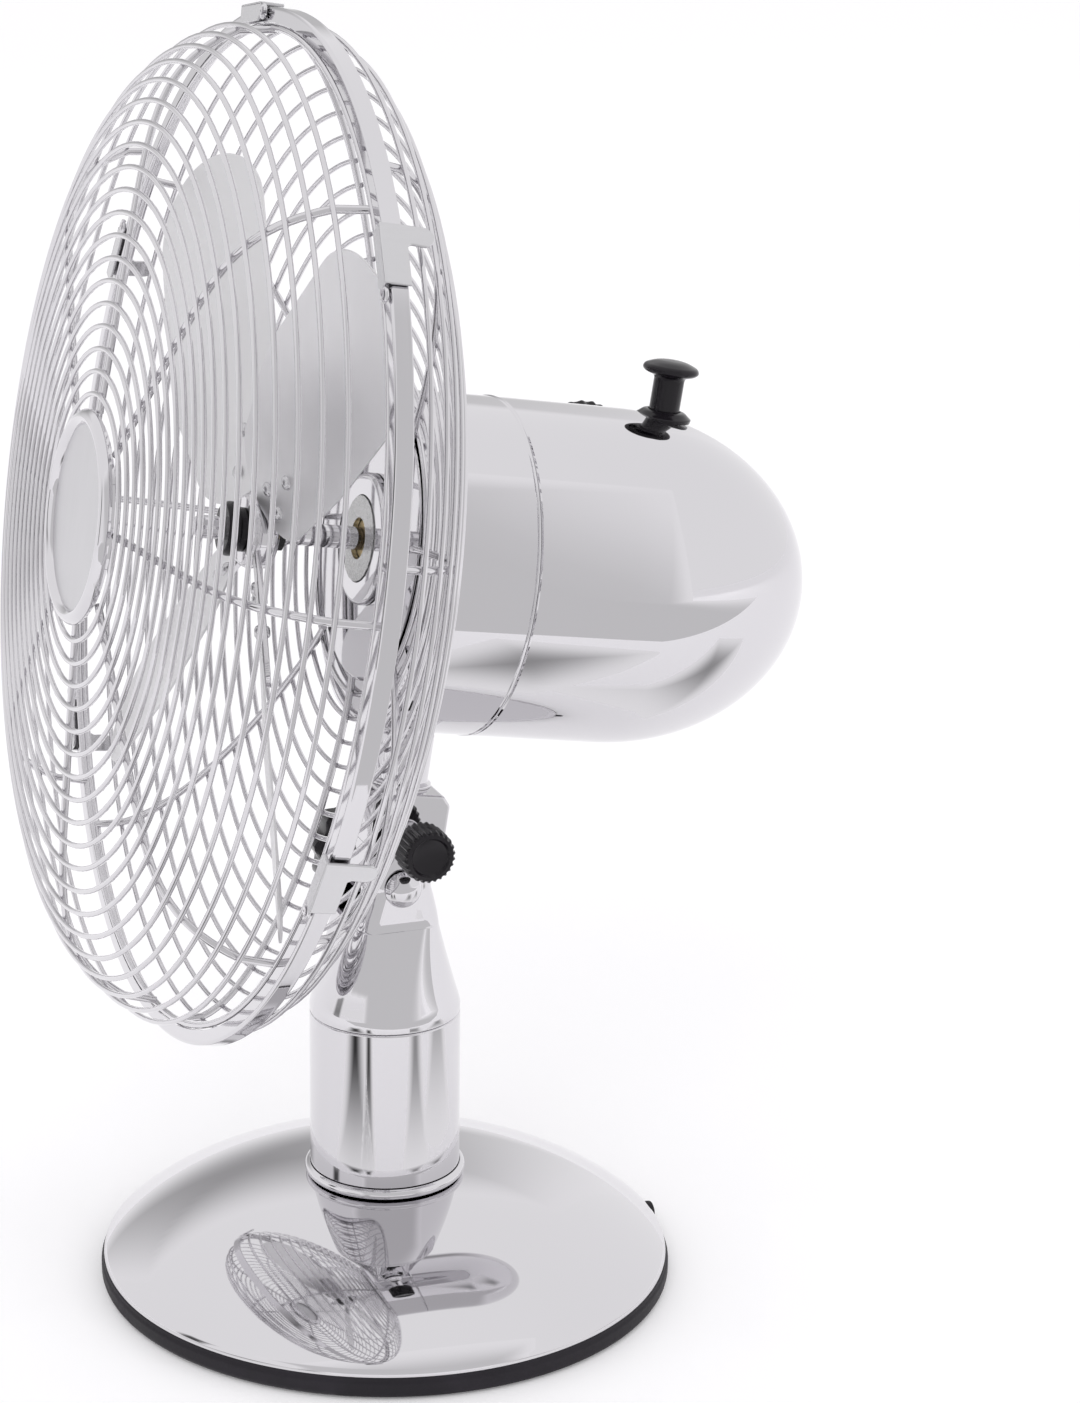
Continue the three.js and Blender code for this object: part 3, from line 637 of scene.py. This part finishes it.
# %% Column
bm = bmesh.new()
lathe(bm, rounded([
    (25.4, COLUMN_FOOT - 1.6), (28.4, COLUMN_FOOT - 1.6, 0.6), (29.3, COLUMN_FOOT - 0.2, 0.7),
    (28.9, COLUMN_FOOT + 1.5, 0.7), (27.4, COLUMN_FOOT + 2.2, 0.4), (27.0, COLUMN_FOOT + 1.8),
    (25.4, COLUMN_FOOT + 1.8),
]), closed=True)
piece("column_seat", bm, STAND, "stand", "chrome", ["column_foot_ring"])

bm = bmesh.new()
lathe(bm, rounded([
    (25.7, COLUMN_FOOT + 2.3), (COLUMN_R, COLUMN_FOOT + 2.3, 0.3), (COLUMN_R, SHOULDER - 0.5, 0.4),
    (COLUMN_R - 0.6, SHOULDER - 0.1, 0.2), (25.7, SHOULDER - 0.1),
]), closed=True)
piece("column", bm, STAND, "stand", "chrome", ["column_tube"])


# %% Neck
def rounded_rectangle(half_x, half_y, corner, z, count=16):
    """One level of the neck, always with the same number of points."""
    points = []
    for quarter in range(4):
        turn = quarter * math.pi / 2
        side_x = (half_x - corner) * (1 if quarter in (0, 3) else -1)
        side_y = (half_y - corner) * (1 if quarter in (0, 1) else -1)
        for k in range(count):
            a = turn + (math.pi / 2) * k / (count - 1)
            points.append(Vector((side_x + corner * math.cos(a), side_y + corner * math.sin(a), z)))
    return points


NECK_HALF_WIDTH = 19.6
NECK_HALF_DEPTH = 15.8


def neck_level(t):
    """How the section shrinks from the shoulder (0) to the cheeks (1)."""
    half_x = COLUMN_R + (NECK_HALF_WIDTH - COLUMN_R) * t
    half_y = COLUMN_R + (NECK_HALF_DEPTH - COLUMN_R) * t
    corner = min(half_x, half_y) - 0.02 - 7.2 * t ** 1.6
    return half_x, half_y, corner


bm = bmesh.new()
neck_rows = [rounded_rectangle(25.2, 25.2, 25.1, SHOULDER - 6)]
neck_rows.append(rounded_rectangle(25.2, 25.2, 25.1, SHOULDER - 0.1))
for rise, shrink in ((0.0, 0.5), (0.25, 0.12), (0.7, 0.0), (2.0, 0.0), (3.0, 0.1)):
    size = COLUMN_R - shrink
    neck_rows.append(rounded_rectangle(size, size, size - 0.02, SHOULDER + rise))
for k in range(1, 21):
    t = k / 20
    neck_rows.append(rounded_rectangle(*neck_level(t), SHOULDER + 3 + (NECK_TOP - SHOULDER - 3) * t))
loft(bm, neck_rows, caps=(True, True))
piece("neck_taper", bm, STAND, "stand", "chrome", ["neck"])


# %% Cheeks
def cheek_section(side, half_y, z, face=19.1, slot=11.5):
    """One level of a cheek: flat towards the slot, rounded at its two outer corners."""
    corner = min(face - slot - 0.1, half_y * 0.98)
    points = [Vector((side * slot, -half_y, z))]
    for start, sign in ((-90, -1), (0, 1)):
        for k in range(13):
            a = math.radians(start + 90 * k / 12)
            x = face - corner + corner * math.cos(a)
            points.append(Vector((side * x, sign * (half_y - corner) + corner * math.sin(a), z)))
    points.append(Vector((side * slot, half_y, z)))
    return points


bm = bmesh.new()
levels = [(15.8, NECK_TOP - 0.2), (15.75, NECK_TOP + 0.6), (15.2, NECK_TOP + 4), (14.1, NECK_TOP + 9)]
for k in range(16):
    a = math.radians(-8 + 94 * k / 15)
    levels.append((12.9 * math.cos(a), PIVOT_Z + 12.9 * math.sin(a)))
for side in (1, -1):
    faces = [19.5 if k == 0 else 19.1 for k in range(len(levels))]
    loft(bm, [cheek_section(side, h, z, f) for (h, z), f in zip(levels, faces)], caps=(True, True))
piece("neck_cheeks", bm, STAND, "stand", "chrome", (), 40)

bm = bmesh.new()
lathe(bm, rounded([
    (0, -31), (2.9, -31), (2.9, 19.9), (6.6, 19.9), (6.8, 20.4, 0.3), (6.5, 21.0, 0.3),
    (5.6, 22.6, 1.0), (3.4, 24.0, 1.2), (0, 24.5),
]), "X", (0, 0, PIVOT_Z), 64)
piece("pivot_bolt_head", bm, STAND, "stand", "chrome", ["pivot_bolt"])

bm = bmesh.new()
lathe(bm, rounded([(2.4, 97.5), (3.2, 97.5), (3.2, 104.2, 0.2), (4.0, 104.2, 0.3), (3.8, 106.4, 0.5),
                   (2.4, 106.4, 0.4)]), "Y", (0, 0, 4), 40, True)
piece("cord_grommet", bm, STAND, "stand", "black_rubber", ["cord_gland"])

# %% [markdown]
# ## Tilt bracket and post
# The tongue between the cheeks grows into a small chamfered block, and a polished post stands on it
# and goes up into the head. Bevelled edges on the block catch the light as they do on a casting that
# was ground before plating. The bevel modifier makes them all at once.

# %% Bracket and post
def profile_block(bm, outline, x1, x2):
    """A side outline of (y, z) points, pushed across from x1 to x2."""
    loft(bm, [[Vector((x, y, z)) for y, z in outline] for x in (x1, x2)], caps=(True, True))


def bevel(made, width, segments=3):
    edge = made.modifiers.new("ground edges", "BEVEL")
    edge.width = width / 1000
    edge.segments = segments
    edge.limit_method = "ANGLE"
    edge.angle_limit = math.radians(28)
    made.modifiers.move(made.modifiers.find(edge.name), 0)


bm = bmesh.new()
tongue = [(11 * math.cos(math.radians(a)), 11 * math.sin(math.radians(a))) for a in range(180, 361, 12)]
profile_block(bm, tongue + [(11, 16), (-11, 16)], -9, 9)
profile_block(bm, [(-14.5, 13.6), (14.5, 13.6), (14.5, 30), (11.6, 33.5), (-11.6, 33.5), (-14.5, 30)],
              -16, 16)
bracket = piece("tilt_block", bm, HEAD, "bracket", "chrome", ["tilt_bracket"])
bevel(bracket, 1.0)

bm = bmesh.new()
lathe(bm, rounded([
    (0, 33.6), (11.4, 33.6), (11.4, 34.6, 0.4), (10, 35.4, 0.5), (10, 52, 0.4), (7, 52.4, 0.3),
    (7, 69.8), (0, 69.8),
]), "Z", (0, 0, 0), 72)
piece("polished_post", bm, HEAD, "bracket", "chrome", ["swivel_post"])

# %% [markdown]
# ## Knobs
# The big tilt knob on the far side has coarse round lobes for grip. The small lock knob on the near
# side is finely ribbed, with a dished face. Both are lofts of one lobed outline that shrinks at the
# ends, so the ribs fade into the rounded rim as they do on a moulding.

# %% Lobed and ribbed knobs
def lobed_loops(radius, depth, lobes, levels, count):
    """Outlines of a grip. Each level is (height, scale, share of the lobes that shows)."""
    loops = []
    for height, scale, share in levels:
        ring = []
        for k in range(count):
            a = 2 * math.pi * k / count
            r = (radius - depth * share * (0.5 + 0.5 * math.cos(lobes * a))) * scale
            ring.append(Vector((r * math.cos(a), r * math.sin(a), height)))
        loops.append(ring)
    return loops


def grip(bm, radius, depth, lobes, levels, place):
    before = len(bm.verts)
    loft(bm, lobed_loops(radius, depth, lobes, levels, lobes * 8), caps=(True, True))
    place_new(bm, before, place)


bm = bmesh.new()
grip(bm, 19, 2.6, 10, [
    (0, 0.55, 0.2), (0.1, 0.86, 0.8), (0.6, 0.95, 1), (1.8, 1, 1), (9.8, 1, 1), (11.2, 0.955, 1),
    (11.9, 0.88, 0.8), (12.0, 0.62, 0.1), (10.8, 0.56, 0), (10.8, 0.1, 0),
], Matrix.Translation((-22, 0, 0)) @ Matrix.Rotation(-math.pi / 2, 4, "Y"))
lathe(bm, [(9, -22.4), (9, -20.2), (4, -20.2), (4, -22.4)], "X", (0, 0, 0), 48, True)
piece("big_tilt_knob", bm, HEAD, "tilt_knob", "black_plastic", ["tilt_knob"])

bm = bmesh.new()
grip(bm, 9.6, 0.9, 26, [
    (0, 0.72, 0), (0.2, 0.9, 0.4), (1.2, 0.98, 1), (2.0, 1, 1), (11.4, 1, 1), (12.8, 0.96, 0.8),
    (13.4, 0.88, 0.2), (13.5, 0.74, 0), (12.6, 0.66, 0), (12.3, 0.5, 0), (12.3, 0.1, 0),
], Matrix.Translation((27.3, 0, 18.5)) @ Matrix.Rotation(math.pi / 2, 4, "Y"))
piece("ribbed_lock_knob", bm, HEAD, "lock_knob", "black_plastic", ["lock_knob"])

bm = bmesh.new()
lathe(bm, rounded([
    (0, 8), (2.6, 8), (2.6, 16.4), (5.4, 16.4, 0.4), (5.6, 18.2, 0.5), (4.4, 19.4, 0.5),
    (4.4, 25.6, 0.4), (3.6, 27.0), (0, 27.0),
]), "X", (0, 0, 18.5), 48)
piece("lock_shank", bm, HEAD, "lock_knob", "chrome", ["lock_screw"])

# %% [markdown]
# ## Motor housing
# Two pressed shells meet at a seam behind the motor: a straight drum in front and a long rounded
# tail behind. The drum's front edge is rolled in to a flat face, and its rear edge is turned over
# the tail's, which gives the fine bright line at the seam. Both hang a little below the shaft.

# %% Housing measures
HOUSING_R = 59.5
HOUSING_Z = AXIS_Z - 6.5
DRUM_Y = -23.0
SEAM_Y = 15.7
TAIL_Y = 64.0
TAIL_LENGTH = 74.0
KNOB_Y = 77.5


def tail_radius(t):
    return HOUSING_R * math.sqrt(max(0, 1 - (t / TAIL_LENGTH) ** 2))


KNOB_SEAT = HOUSING_Z + tail_radius(KNOB_Y - TAIL_Y)
print("top of the housing under the pull knob", round(KNOB_SEAT, 1), "mm above the pivot")

# %% Front drum
bm = bmesh.new()
lathe(bm, rounded([
    (23.5, DRUM_Y), (HOUSING_R - 5, DRUM_Y), (HOUSING_R - 0.3, DRUM_Y + 0.2, 4.2),
    (HOUSING_R, SEAM_Y - 1.6), (HOUSING_R + 0.35, SEAM_Y - 1.1, 0.3),
    (HOUSING_R + 0.35, SEAM_Y - 0.5, 0.3),
    (HOUSING_R - 0.5, SEAM_Y - 0.2), (HOUSING_R - 1.4, SEAM_Y - 0.3), (HOUSING_R - 1.4, DRUM_Y + 5),
    (HOUSING_R - 5.5, DRUM_Y + 1.2), (23.5, DRUM_Y + 1.2),
]), "Y", (0, 0, HOUSING_Z), 192, True)
piece("motor_drum", bm, HEAD, "head", "chrome", ["front_drum"])

# %% Rear shell
bm = bmesh.new()
tail = [(tail_radius(TAIL_LENGTH * math.sin(math.pi / 2 * k / 28)),
         TAIL_Y + TAIL_LENGTH * math.sin(math.pi / 2 * k / 28)) for k in range(29)]
straight = [(HOUSING_R, SEAM_Y + (TAIL_Y - SEAM_Y) * k / 4) for k in range(1, 4)]
skin = [(HOUSING_R - 1.4, SEAM_Y + 0.2), (HOUSING_R - 0.5, SEAM_Y), (HOUSING_R, SEAM_Y + 0.6)]
lathe(bm, skin + straight + tail[:-1] + [(0, TAIL_Y + TAIL_LENGTH)], "Y", (0, 0, HOUSING_Z), 192)
piece("motor_tail_shell", bm, HEAD, "head", "chrome", ["rear_shell"])

# %% [markdown]
# ## Controls on the housing
# The swing of the head is switched by a black knob that is pulled up: a broad domed cap on a
# straight stem, standing in a thin flared collar. The speed knob is on the far shoulder.

# %% Pull knob and collar
bm = bmesh.new()
lathe(bm, rounded([
    (5.7, KNOB_SEAT - 0.6), (9.6, KNOB_SEAT - 0.9), (9.9, KNOB_SEAT + 0.4, 0.3),
    (8.8, KNOB_SEAT + 1.2, 0.5), (7.4, KNOB_SEAT + 2.4, 0.8), (5.9, KNOB_SEAT + 2.6, 0.2),
    (5.7, KNOB_SEAT + 2.2),
]), "Z", (0, KNOB_Y, 0), 72, True)
piece("pull_knob_collar", bm, HEAD, "head", "black_plastic", ["pull_collar"])

bm = bmesh.new()
lathe(bm, rounded([
    (0, AXIS_Z + 12), (3, AXIS_Z + 12), (3, KNOB_SEAT - 14), (5.4, KNOB_SEAT - 12, 0.5),
    (5.4, KNOB_SEAT + 14.6, 1.4), (8.9, KNOB_SEAT + 15.6, 0.8), (10.0, KNOB_SEAT + 16.6, 0.6),
    (9.8, KNOB_SEAT + 18.2, 1.2), (5.5, KNOB_SEAT + 20.0, 2.0), (0, KNOB_SEAT + 20.4),
]), "Z", (0, KNOB_Y, 0), 72)
piece("swing_pull_knob", bm, HEAD, "pull_knob", "black_plastic", ["pull_knob"])

# %% Speed knob
SPEED_ANGLE = math.radians(52)
SPEED_Y = 69.0
speed_place = HEAD @ Matrix.Translation((0, SPEED_Y, HOUSING_Z)) @ Matrix.Rotation(-SPEED_ANGLE, 4, "Y")
bm = bmesh.new()
grip(bm, 14, 1.2, 18, [
    (61.0, 0.6, 0), (61.1, 0.95, 0.3), (61.8, 1, 1), (69.4, 0.97, 1), (71.0, 0.92, 0.8),
    (71.8, 0.82, 0.2), (72.0, 0.7, 0), (71.4, 0.64, 0), (71.4, 0.1, 0),
], Matrix.Identity(4))
lathe(bm, [(4, 52), (4, 62), (2, 62), (2, 52)], "Z", (0, 0, 0), 40, True)
piece("speed_dial", bm, speed_place, "speed_knob", "black_plastic", ["speed_knob"])

# %% [markdown]
# ## Shaft, hub and blades
# A polished shaft comes out of the motor, and a small dark nose holds the hub on it. Four flat arms
# leave the hub at a pitch, and a satin blade with round ends is riveted on each. A blade is drawn
# flat in rows across it, with round ends from a formula, then given a slight hollow and a
# thickness, and stood out at its angle.

# %% Shaft and nose
bm = bmesh.new()
lathe(bm, rounded([
    (0, -88), (3.0, -88), (4, -86.6, 0.6), (4, 40), (3.4, 47), (3.4, 65), (0, 65),
]), "Y", (0, 0, AXIS_Z), 64)
piece("motor_shaft", bm, HEAD, "rotor", "chrome", ["shaft"])

bm = bmesh.new()
lathe(bm, rounded([
    (4.2, HUB_Y - 12.2), (8.6, HUB_Y - 12.2, 0.5), (9.4, HUB_Y - 10.6, 0.6), (9.4, HUB_Y - 8.2, 0.6),
    (7.6, HUB_Y - 7.4, 0.4), (7.6, HUB_Y - 5.3), (4.2, HUB_Y - 5.3),
]), "Y", (0, 0, AXIS_Z), 64, True)
piece("spinner", bm, HEAD, "rotor", "black_plastic", ["spinner_nut"])

# %% Hub with arms
PITCH = math.radians(-20)
BLADE_ANGLES = [math.radians(39 + 90 * k) for k in range(4)]


def on_radius(angle):
    """Stands a flat piece out from the shaft at an angle, pitched about its own length."""
    return (Matrix.Translation((0, HUB_Y, AXIS_Z)) @ Matrix.Rotation(-angle, 4, "Y")
            @ Matrix.Rotation(math.pi / 2 - PITCH, 4, "X"))


def slab(bm, outline, z1, z2, place):
    before = len(bm.verts)
    loft(bm, [[Vector((x, y, z)) for x, y in outline] for z in (z1, z2)], caps=(True, True))
    place_new(bm, before, place)


bm = bmesh.new()
lathe(bm, rounded([
    (4.3, HUB_Y - 5), (12, HUB_Y - 5, 1), (13, HUB_Y - 3, 1), (13, HUB_Y + 3.6, 1), (11.6, HUB_Y + 5, 0.6),
    (4.3, HUB_Y + 5),
]), "Y", (0, 0, AXIS_Z), 64, True)
for angle in BLADE_ANGLES:
    arm_end = [(51 + 7 * math.cos(a), 7 * math.sin(a)) for a in
               (math.radians(-90 + 180 * k / 12) for k in range(13))]
    slab(bm, [(8, -7.4)] + arm_end + [(8, 7.4)], -1, 1, on_radius(angle))
hub = piece("blade_hub", bm, HEAD, "rotor", "chrome", ["hub"])
bevel(hub, 0.35, 2)


# %% Blades
def arc(x, y, radius, start, end, steps):
    angles = (math.radians(start + (end - start) * k / steps) for k in range(steps + 1))
    return [(x + radius * math.cos(a), y + radius * math.sin(a)) for a in angles]


BLADE_ROOT = 13.6
BLADE_TIP = 149.5
ROOT_ROUND = 16.0
TIP_ROUND = 29.3
TRAILING_EDGE = -16.5
LEADING_EDGE = 25.0
SHEET = 0.75
STAND_OFF = 1.9
HOLLOW = 1.6


def blade_rows():
    """Rows across the blade from its root to its tip: (x, lowest y, highest y)."""
    rows = []
    for k in range(65):
        x = BLADE_ROOT + (BLADE_TIP - BLADE_ROOT) * (1 - math.cos(math.pi * k / 64)) / 2
        widen = smooth((x - BLADE_ROOT) / 60)
        low, high = TRAILING_EDGE - 4 * widen, LEADING_EDGE + 13 * widen
        share = 1.0
        from_root = (BLADE_ROOT + ROOT_ROUND - x) / ROOT_ROUND
        from_tip = (x - BLADE_TIP + TIP_ROUND) / TIP_ROUND
        if from_root > 0:
            share = max(0.06, math.sqrt(max(0, 1 - from_root ** 2)))
        if from_tip > 0:
            share = math.sqrt(max(0, 1 - from_tip ** 2.1))
        middle = (low + high) / 2
        rows.append((x, middle + (low - middle) * share, middle + (high - middle) * share))
    return rows


def blade(bm, place):
    """A thin pressed sheet with a slight hollow across, made as one closed loft."""
    loops = []
    for x, low, high in blade_rows():
        across = [low + (high - low) * k / 14 for k in range(15)]
        past_arm = min(1, max(0, (x - 44) / 40))
        hollow = [STAND_OFF + HOLLOW * (1 - ((y - 9) / 30) ** 2) * past_arm for y in across]
        front = [Vector((x, y, h)) for y, h in zip(across, hollow)]
        rear = [Vector((x, y, h - SHEET)) for y, h in zip(across, hollow)]
        loops.append(front + rear[::-1])
    before = len(bm.verts)
    loft(bm, loops, caps=(True, True))
    place_new(bm, before, place)


for number, angle in enumerate(BLADE_ANGLES, 1):
    bm = bmesh.new()
    blade(bm, on_radius(angle))
    piece(f"blade_sheet_{number}", bm, HEAD, "rotor", "satin_aluminium", [f"blade_{number}"], 50)

# %% Rivets
bm = bmesh.new()
for angle in BLADE_ANGLES:
    for x, y in ((24, -4.6), (24, 4.6), (38, 0)):
        place = on_radius(angle) @ Matrix.Translation((x, y, 0))
        before = len(bm.verts)
        lathe(bm, [(0, 3.5), (1.1, 3.4), (2.1, 2.9), (2.6, 2.1), (2.6, 0.9), (0, 0.9)], segments=20)
        lathe(bm, [(0, -2.1), (1.2, -2.0), (2.0, -1.5), (2.1, -0.9), (0, -0.9)], segments=20)
        place_new(bm, before, place)
piece("blade_rivets", bm, HEAD, "rotor", "satin_clip", ())

# %% [markdown]
# ## Cage
# Two dishes of thin plated wire meet at a light hoop. In each dish the rings are welded to eight
# stouter struts on the inside. The front dish is nearly flat and turns down sharply at the rim. The
# rings are spaced evenly along its curve, so they crowd together near the rim when seen from the
# front. Their radii are found by walking along the curve in equal steps.

# %% Cage measures and curves
HOOP_Y = -79.0
HOOP_R = 175.0
RING_WIRE = 0.95
STRUT_WIRE = 1.35
FRONT_EDGE = 168.2
REAR_EDGE = 171.0
FRONT_DEPTH = 52.0
FRONT_SLOPE = 0.055
FRONT_RIM = 173.9
FRONT_TURN = 11.8
REAR_DEPTH = 51.4
REAR_FLAT = 49.0
REAR_RUN = 123.0


def front_curve(r):
    """Station of the front dish at a radius: nearly flat, with a sharp turn at the rim."""
    depth = FRONT_DEPTH - FRONT_SLOPE * r
    return HOOP_Y + 1.8 - depth * (1 - (min(r, FRONT_RIM - 0.1) / FRONT_RIM) ** FRONT_TURN) ** 0.9


def rear_curve(r):
    """Station of the rear dish at a radius: a flat middle, then a slope down to the hoop."""
    run = max(0, r - REAR_FLAT) / REAR_RUN
    return HOOP_Y + 3 + REAR_DEPTH * math.sqrt(max(0, 1 - run ** 1.39))


def even_radii(curve, start, end, count):
    """Radii that divide the dish's curve into equal lengths."""
    samples = [start + (end - start) * k / 2000 for k in range(2001)]
    travel = [0.0]
    for a, b in zip(samples, samples[1:]):
        travel.append(travel[-1] + math.hypot(b - a, curve(b) - curve(a)))
    radii = []
    for k in range(count):
        goal = travel[-1] * k / (count - 1)
        index = min(range(len(travel)), key=lambda i: abs(travel[i] - goal))
        radii.append(samples[index])
    return radii


print("front dish depth at its middle", round(HOOP_Y - front_curve(0), 1), "mm")

# %% The two dishes
def dish(name, curve, inside, start, end, rings, first_strut, edge, hub_ring, stands_for):
    """A wire dish: rings on the outside, struts on the inside, a hub ring at the centre."""
    bm = bmesh.new()
    radii = even_radii(curve, start, end, rings)
    for r in radii:
        wire_ring(bm, r, curve(r), RING_WIRE)
    wire_ring(bm, *edge, RING_WIRE + 0.25)
    lathe(bm, hub_ring, "Y", (0, 0, AXIS_Z), 96, True)
    for k in range(8):
        angle = math.radians(first_strut + 45 * k)
        out = Vector((math.cos(angle), 0, math.sin(angle)))
        path = []
        for r in even_radii(curve, start - 6, end, 40):
            slope = (curve(r + 0.05) - curve(r - 0.05)) / 0.1
            normal = Vector((-slope, 1)).normalized() * inside * (RING_WIRE + STRUT_WIRE - 0.5)
            path.append(out * (r + normal.x) + Vector((0, curve(r) + normal.y, AXIS_Z)))
        path.append(out * (edge[0] - 0.6) + Vector((0, edge[1], AXIS_Z)))
        sweep(bm, path, STRUT_WIRE, 8)
    piece(name, bm, HEAD, "head", "wire_chrome", stands_for, 60)
    print(name, "ring radii", [round(r) for r in radii])


FRONT_FACE = front_curve(30)
front_hub = rounded([(25, FRONT_FACE + 0.6), (33.6, FRONT_FACE + 0.6), (33.6, FRONT_FACE + 1.8),
                     (25, FRONT_FACE + 1.8)])
dish("front_wire_dish", front_curve, inside=1, start=41.5, end=167.6, rings=19, first_strut=3.5,
     edge=(FRONT_EDGE, HOOP_Y - 2.4), hub_ring=front_hub, stands_for=["front_guard"])
rear_hub = rounded([(18, HOOP_Y + 54.1), (48, HOOP_Y + 54.1), (49, HOOP_Y + 54.6), (48, HOOP_Y + 55.2),
                    (18, HOOP_Y + 55.2)])
dish("rear_wire_dish", rear_curve, inside=-1, start=54, end=170.3, rings=16, first_strut=9.5,
     edge=(REAR_EDGE, HOOP_Y), hub_ring=rear_hub, stands_for=["rear_guard"])

# %% [markdown]
# ## Hoop
# The hoop that joins the dishes is a light rolled section: a flange that faces forwards and a short
# band behind it with a rolled edge. It is polished like the rest, but its flange is flat and wide
# enough to show as a pale rim around the whole cage.

# %% Hoop and fixing ring
bm = bmesh.new()
lathe(bm, rounded([
    (169.9, HOOP_Y - 2.6), (169.9, HOOP_Y - 3.0), (HOOP_R - 1, HOOP_Y - 3.0, 0.3),
    (HOOP_R, HOOP_Y - 2.4, 0.5), (HOOP_R, HOOP_Y + 2.0, 0.4), (HOOP_R + 0.1, HOOP_Y + 3.0, 0.5),
    (HOOP_R - 1.2, HOOP_Y + 3.1, 0.5),
    (HOOP_R - 1.1, HOOP_Y + 1.6), (HOOP_R - 1.1, HOOP_Y - 1.9), (169.9, HOOP_Y - 2.1),
]), "Y", (0, 0, AXIS_Z), 256, True)
piece("cage_hoop", bm, HEAD, "head", "chrome", ["guard_hoop"])

bm = bmesh.new()
lathe(bm, rounded([
    (15.3, DRUM_Y - 5.5), (22, DRUM_Y - 5.5, 0.8), (23, DRUM_Y - 4.3, 0.4), (23, DRUM_Y - 2.3),
    (15.3, DRUM_Y - 2.3),
]), "Y", (0, 0, AXIS_Z), 72, True)
piece("cage_fixing_ring", bm, HEAD, "head", "chrome", ["guard_nut"])

# %% [markdown]
# ## Badge
# A plain satin disc sits in a rounded plated ring in the middle of the cage. It carries no mark.

# %% Badge
BADGE_Y = FRONT_FACE - 0.2
bm = bmesh.new()
lathe(bm, rounded([
    (36.0, BADGE_Y + 0.4), (36.5, BADGE_Y - 0.9, 0.6), (35.2, BADGE_Y - 3.0, 1.0),
    (33.0, BADGE_Y - 3.7, 1.0), (31.2, BADGE_Y - 2.2, 0.8), (30.7, BADGE_Y - 0.6), (31.0, BADGE_Y + 0.4),
]), "Y", (0, 0, AXIS_Z), 128, True)
piece("badge_rim", bm, HEAD, "head", "chrome", ["badge_ring"])

bm = bmesh.new()
lathe(bm, [(0, BADGE_Y - 1.5), (12, BADGE_Y - 1.47), (22, BADGE_Y - 1.4), (31.2, BADGE_Y - 1.3),
           (31.2, BADGE_Y + 0.2), (0, BADGE_Y + 0.2)], "Y", (0, 0, AXIS_Z), 96)
piece("badge_plate", bm, HEAD, "head", "badge_satin", ["badge_disc"])

# %% [markdown]
# ## Clips
# Five spring clips hold the dishes to the hoop. Each is a bent satin plate over the rim with a
# rounded ear behind, and turns on a small ribbed eyelet in front. The plate is drawn flat, one
# outline along the rim, and its front edge is folded down over the flange.

# %% Clips
CLIP_ANGLES = [-9, 50, 116, 232, 294]


def clip_place(angle):
    """Puts a clip drawn with x along the rim, y back and z outwards at its angle on the hoop."""
    return HEAD @ Matrix.Translation((0, HOOP_Y, AXIS_Z)) @ Matrix.Rotation(math.radians(angle), 4, "Y")


def clip(bm):
    top = HOOP_R + 0.35
    front, rear = -4.9, 3.6
    outline = [(7, front), (7, rear), (-6.5, rear), (-7.2, rear + 1.2)]
    outline += arc(-10.2, rear + 5.4, 3.4, -10, 180, 10)
    outline += [(-13.8, rear), (-14, front)]
    loft(bm, [[Vector((x, y, z)) for x, y in outline] for z in (top, top + 1.1)], caps=(True, True))
    lip = [(x, z) for x, z in ((7, 0.9), (-14, 0.9), (-14, -3.6), (-12.4, -5.2), (5.4, -5.2), (7, -3.6))]
    loft(bm, [[Vector((x, y, top + z)) for x, z in lip] for y in (front, front + 1.0)], caps=(True, True))


def eyelet(bm):
    path = arc(9.3, HOOP_R - 2.0, 2.1, 0, 330, 20)
    sweep(bm, [Vector((x, -4.3, z)) for x, z in path], 0.65)
    for k in range(4):
        lathe(bm, rounded([(0.4, -1.0 + k * 0.5), (1.3, -1.0 + k * 0.5), (1.3, -0.7 + k * 0.5),
                           (0.4, -0.7 + k * 0.5)]), "Y", (9.3, -4.3, HOOP_R - 2.0), 24, True)


for number, angle in enumerate(CLIP_ANGLES, 1):
    bm = bmesh.new()
    clip(bm)
    made = piece(f"spring_clip_{number}", bm, clip_place(angle), f"clip_{number}", "satin_clip",
                 [f"guard_clip_{number}"], 30)
    bevel(made, 0.3, 2)
    bm = bmesh.new()
    eyelet(bm)
    piece(f"clip_eyelet_{number}", bm, clip_place(angle), f"clip_{number}", "chrome", (), 50)

# %% [markdown]
# The finished fan must be the size of the imported model. At the end the scene is brought up to date.

# %% Bring the scene up to date
bpy.context.view_layer.update()
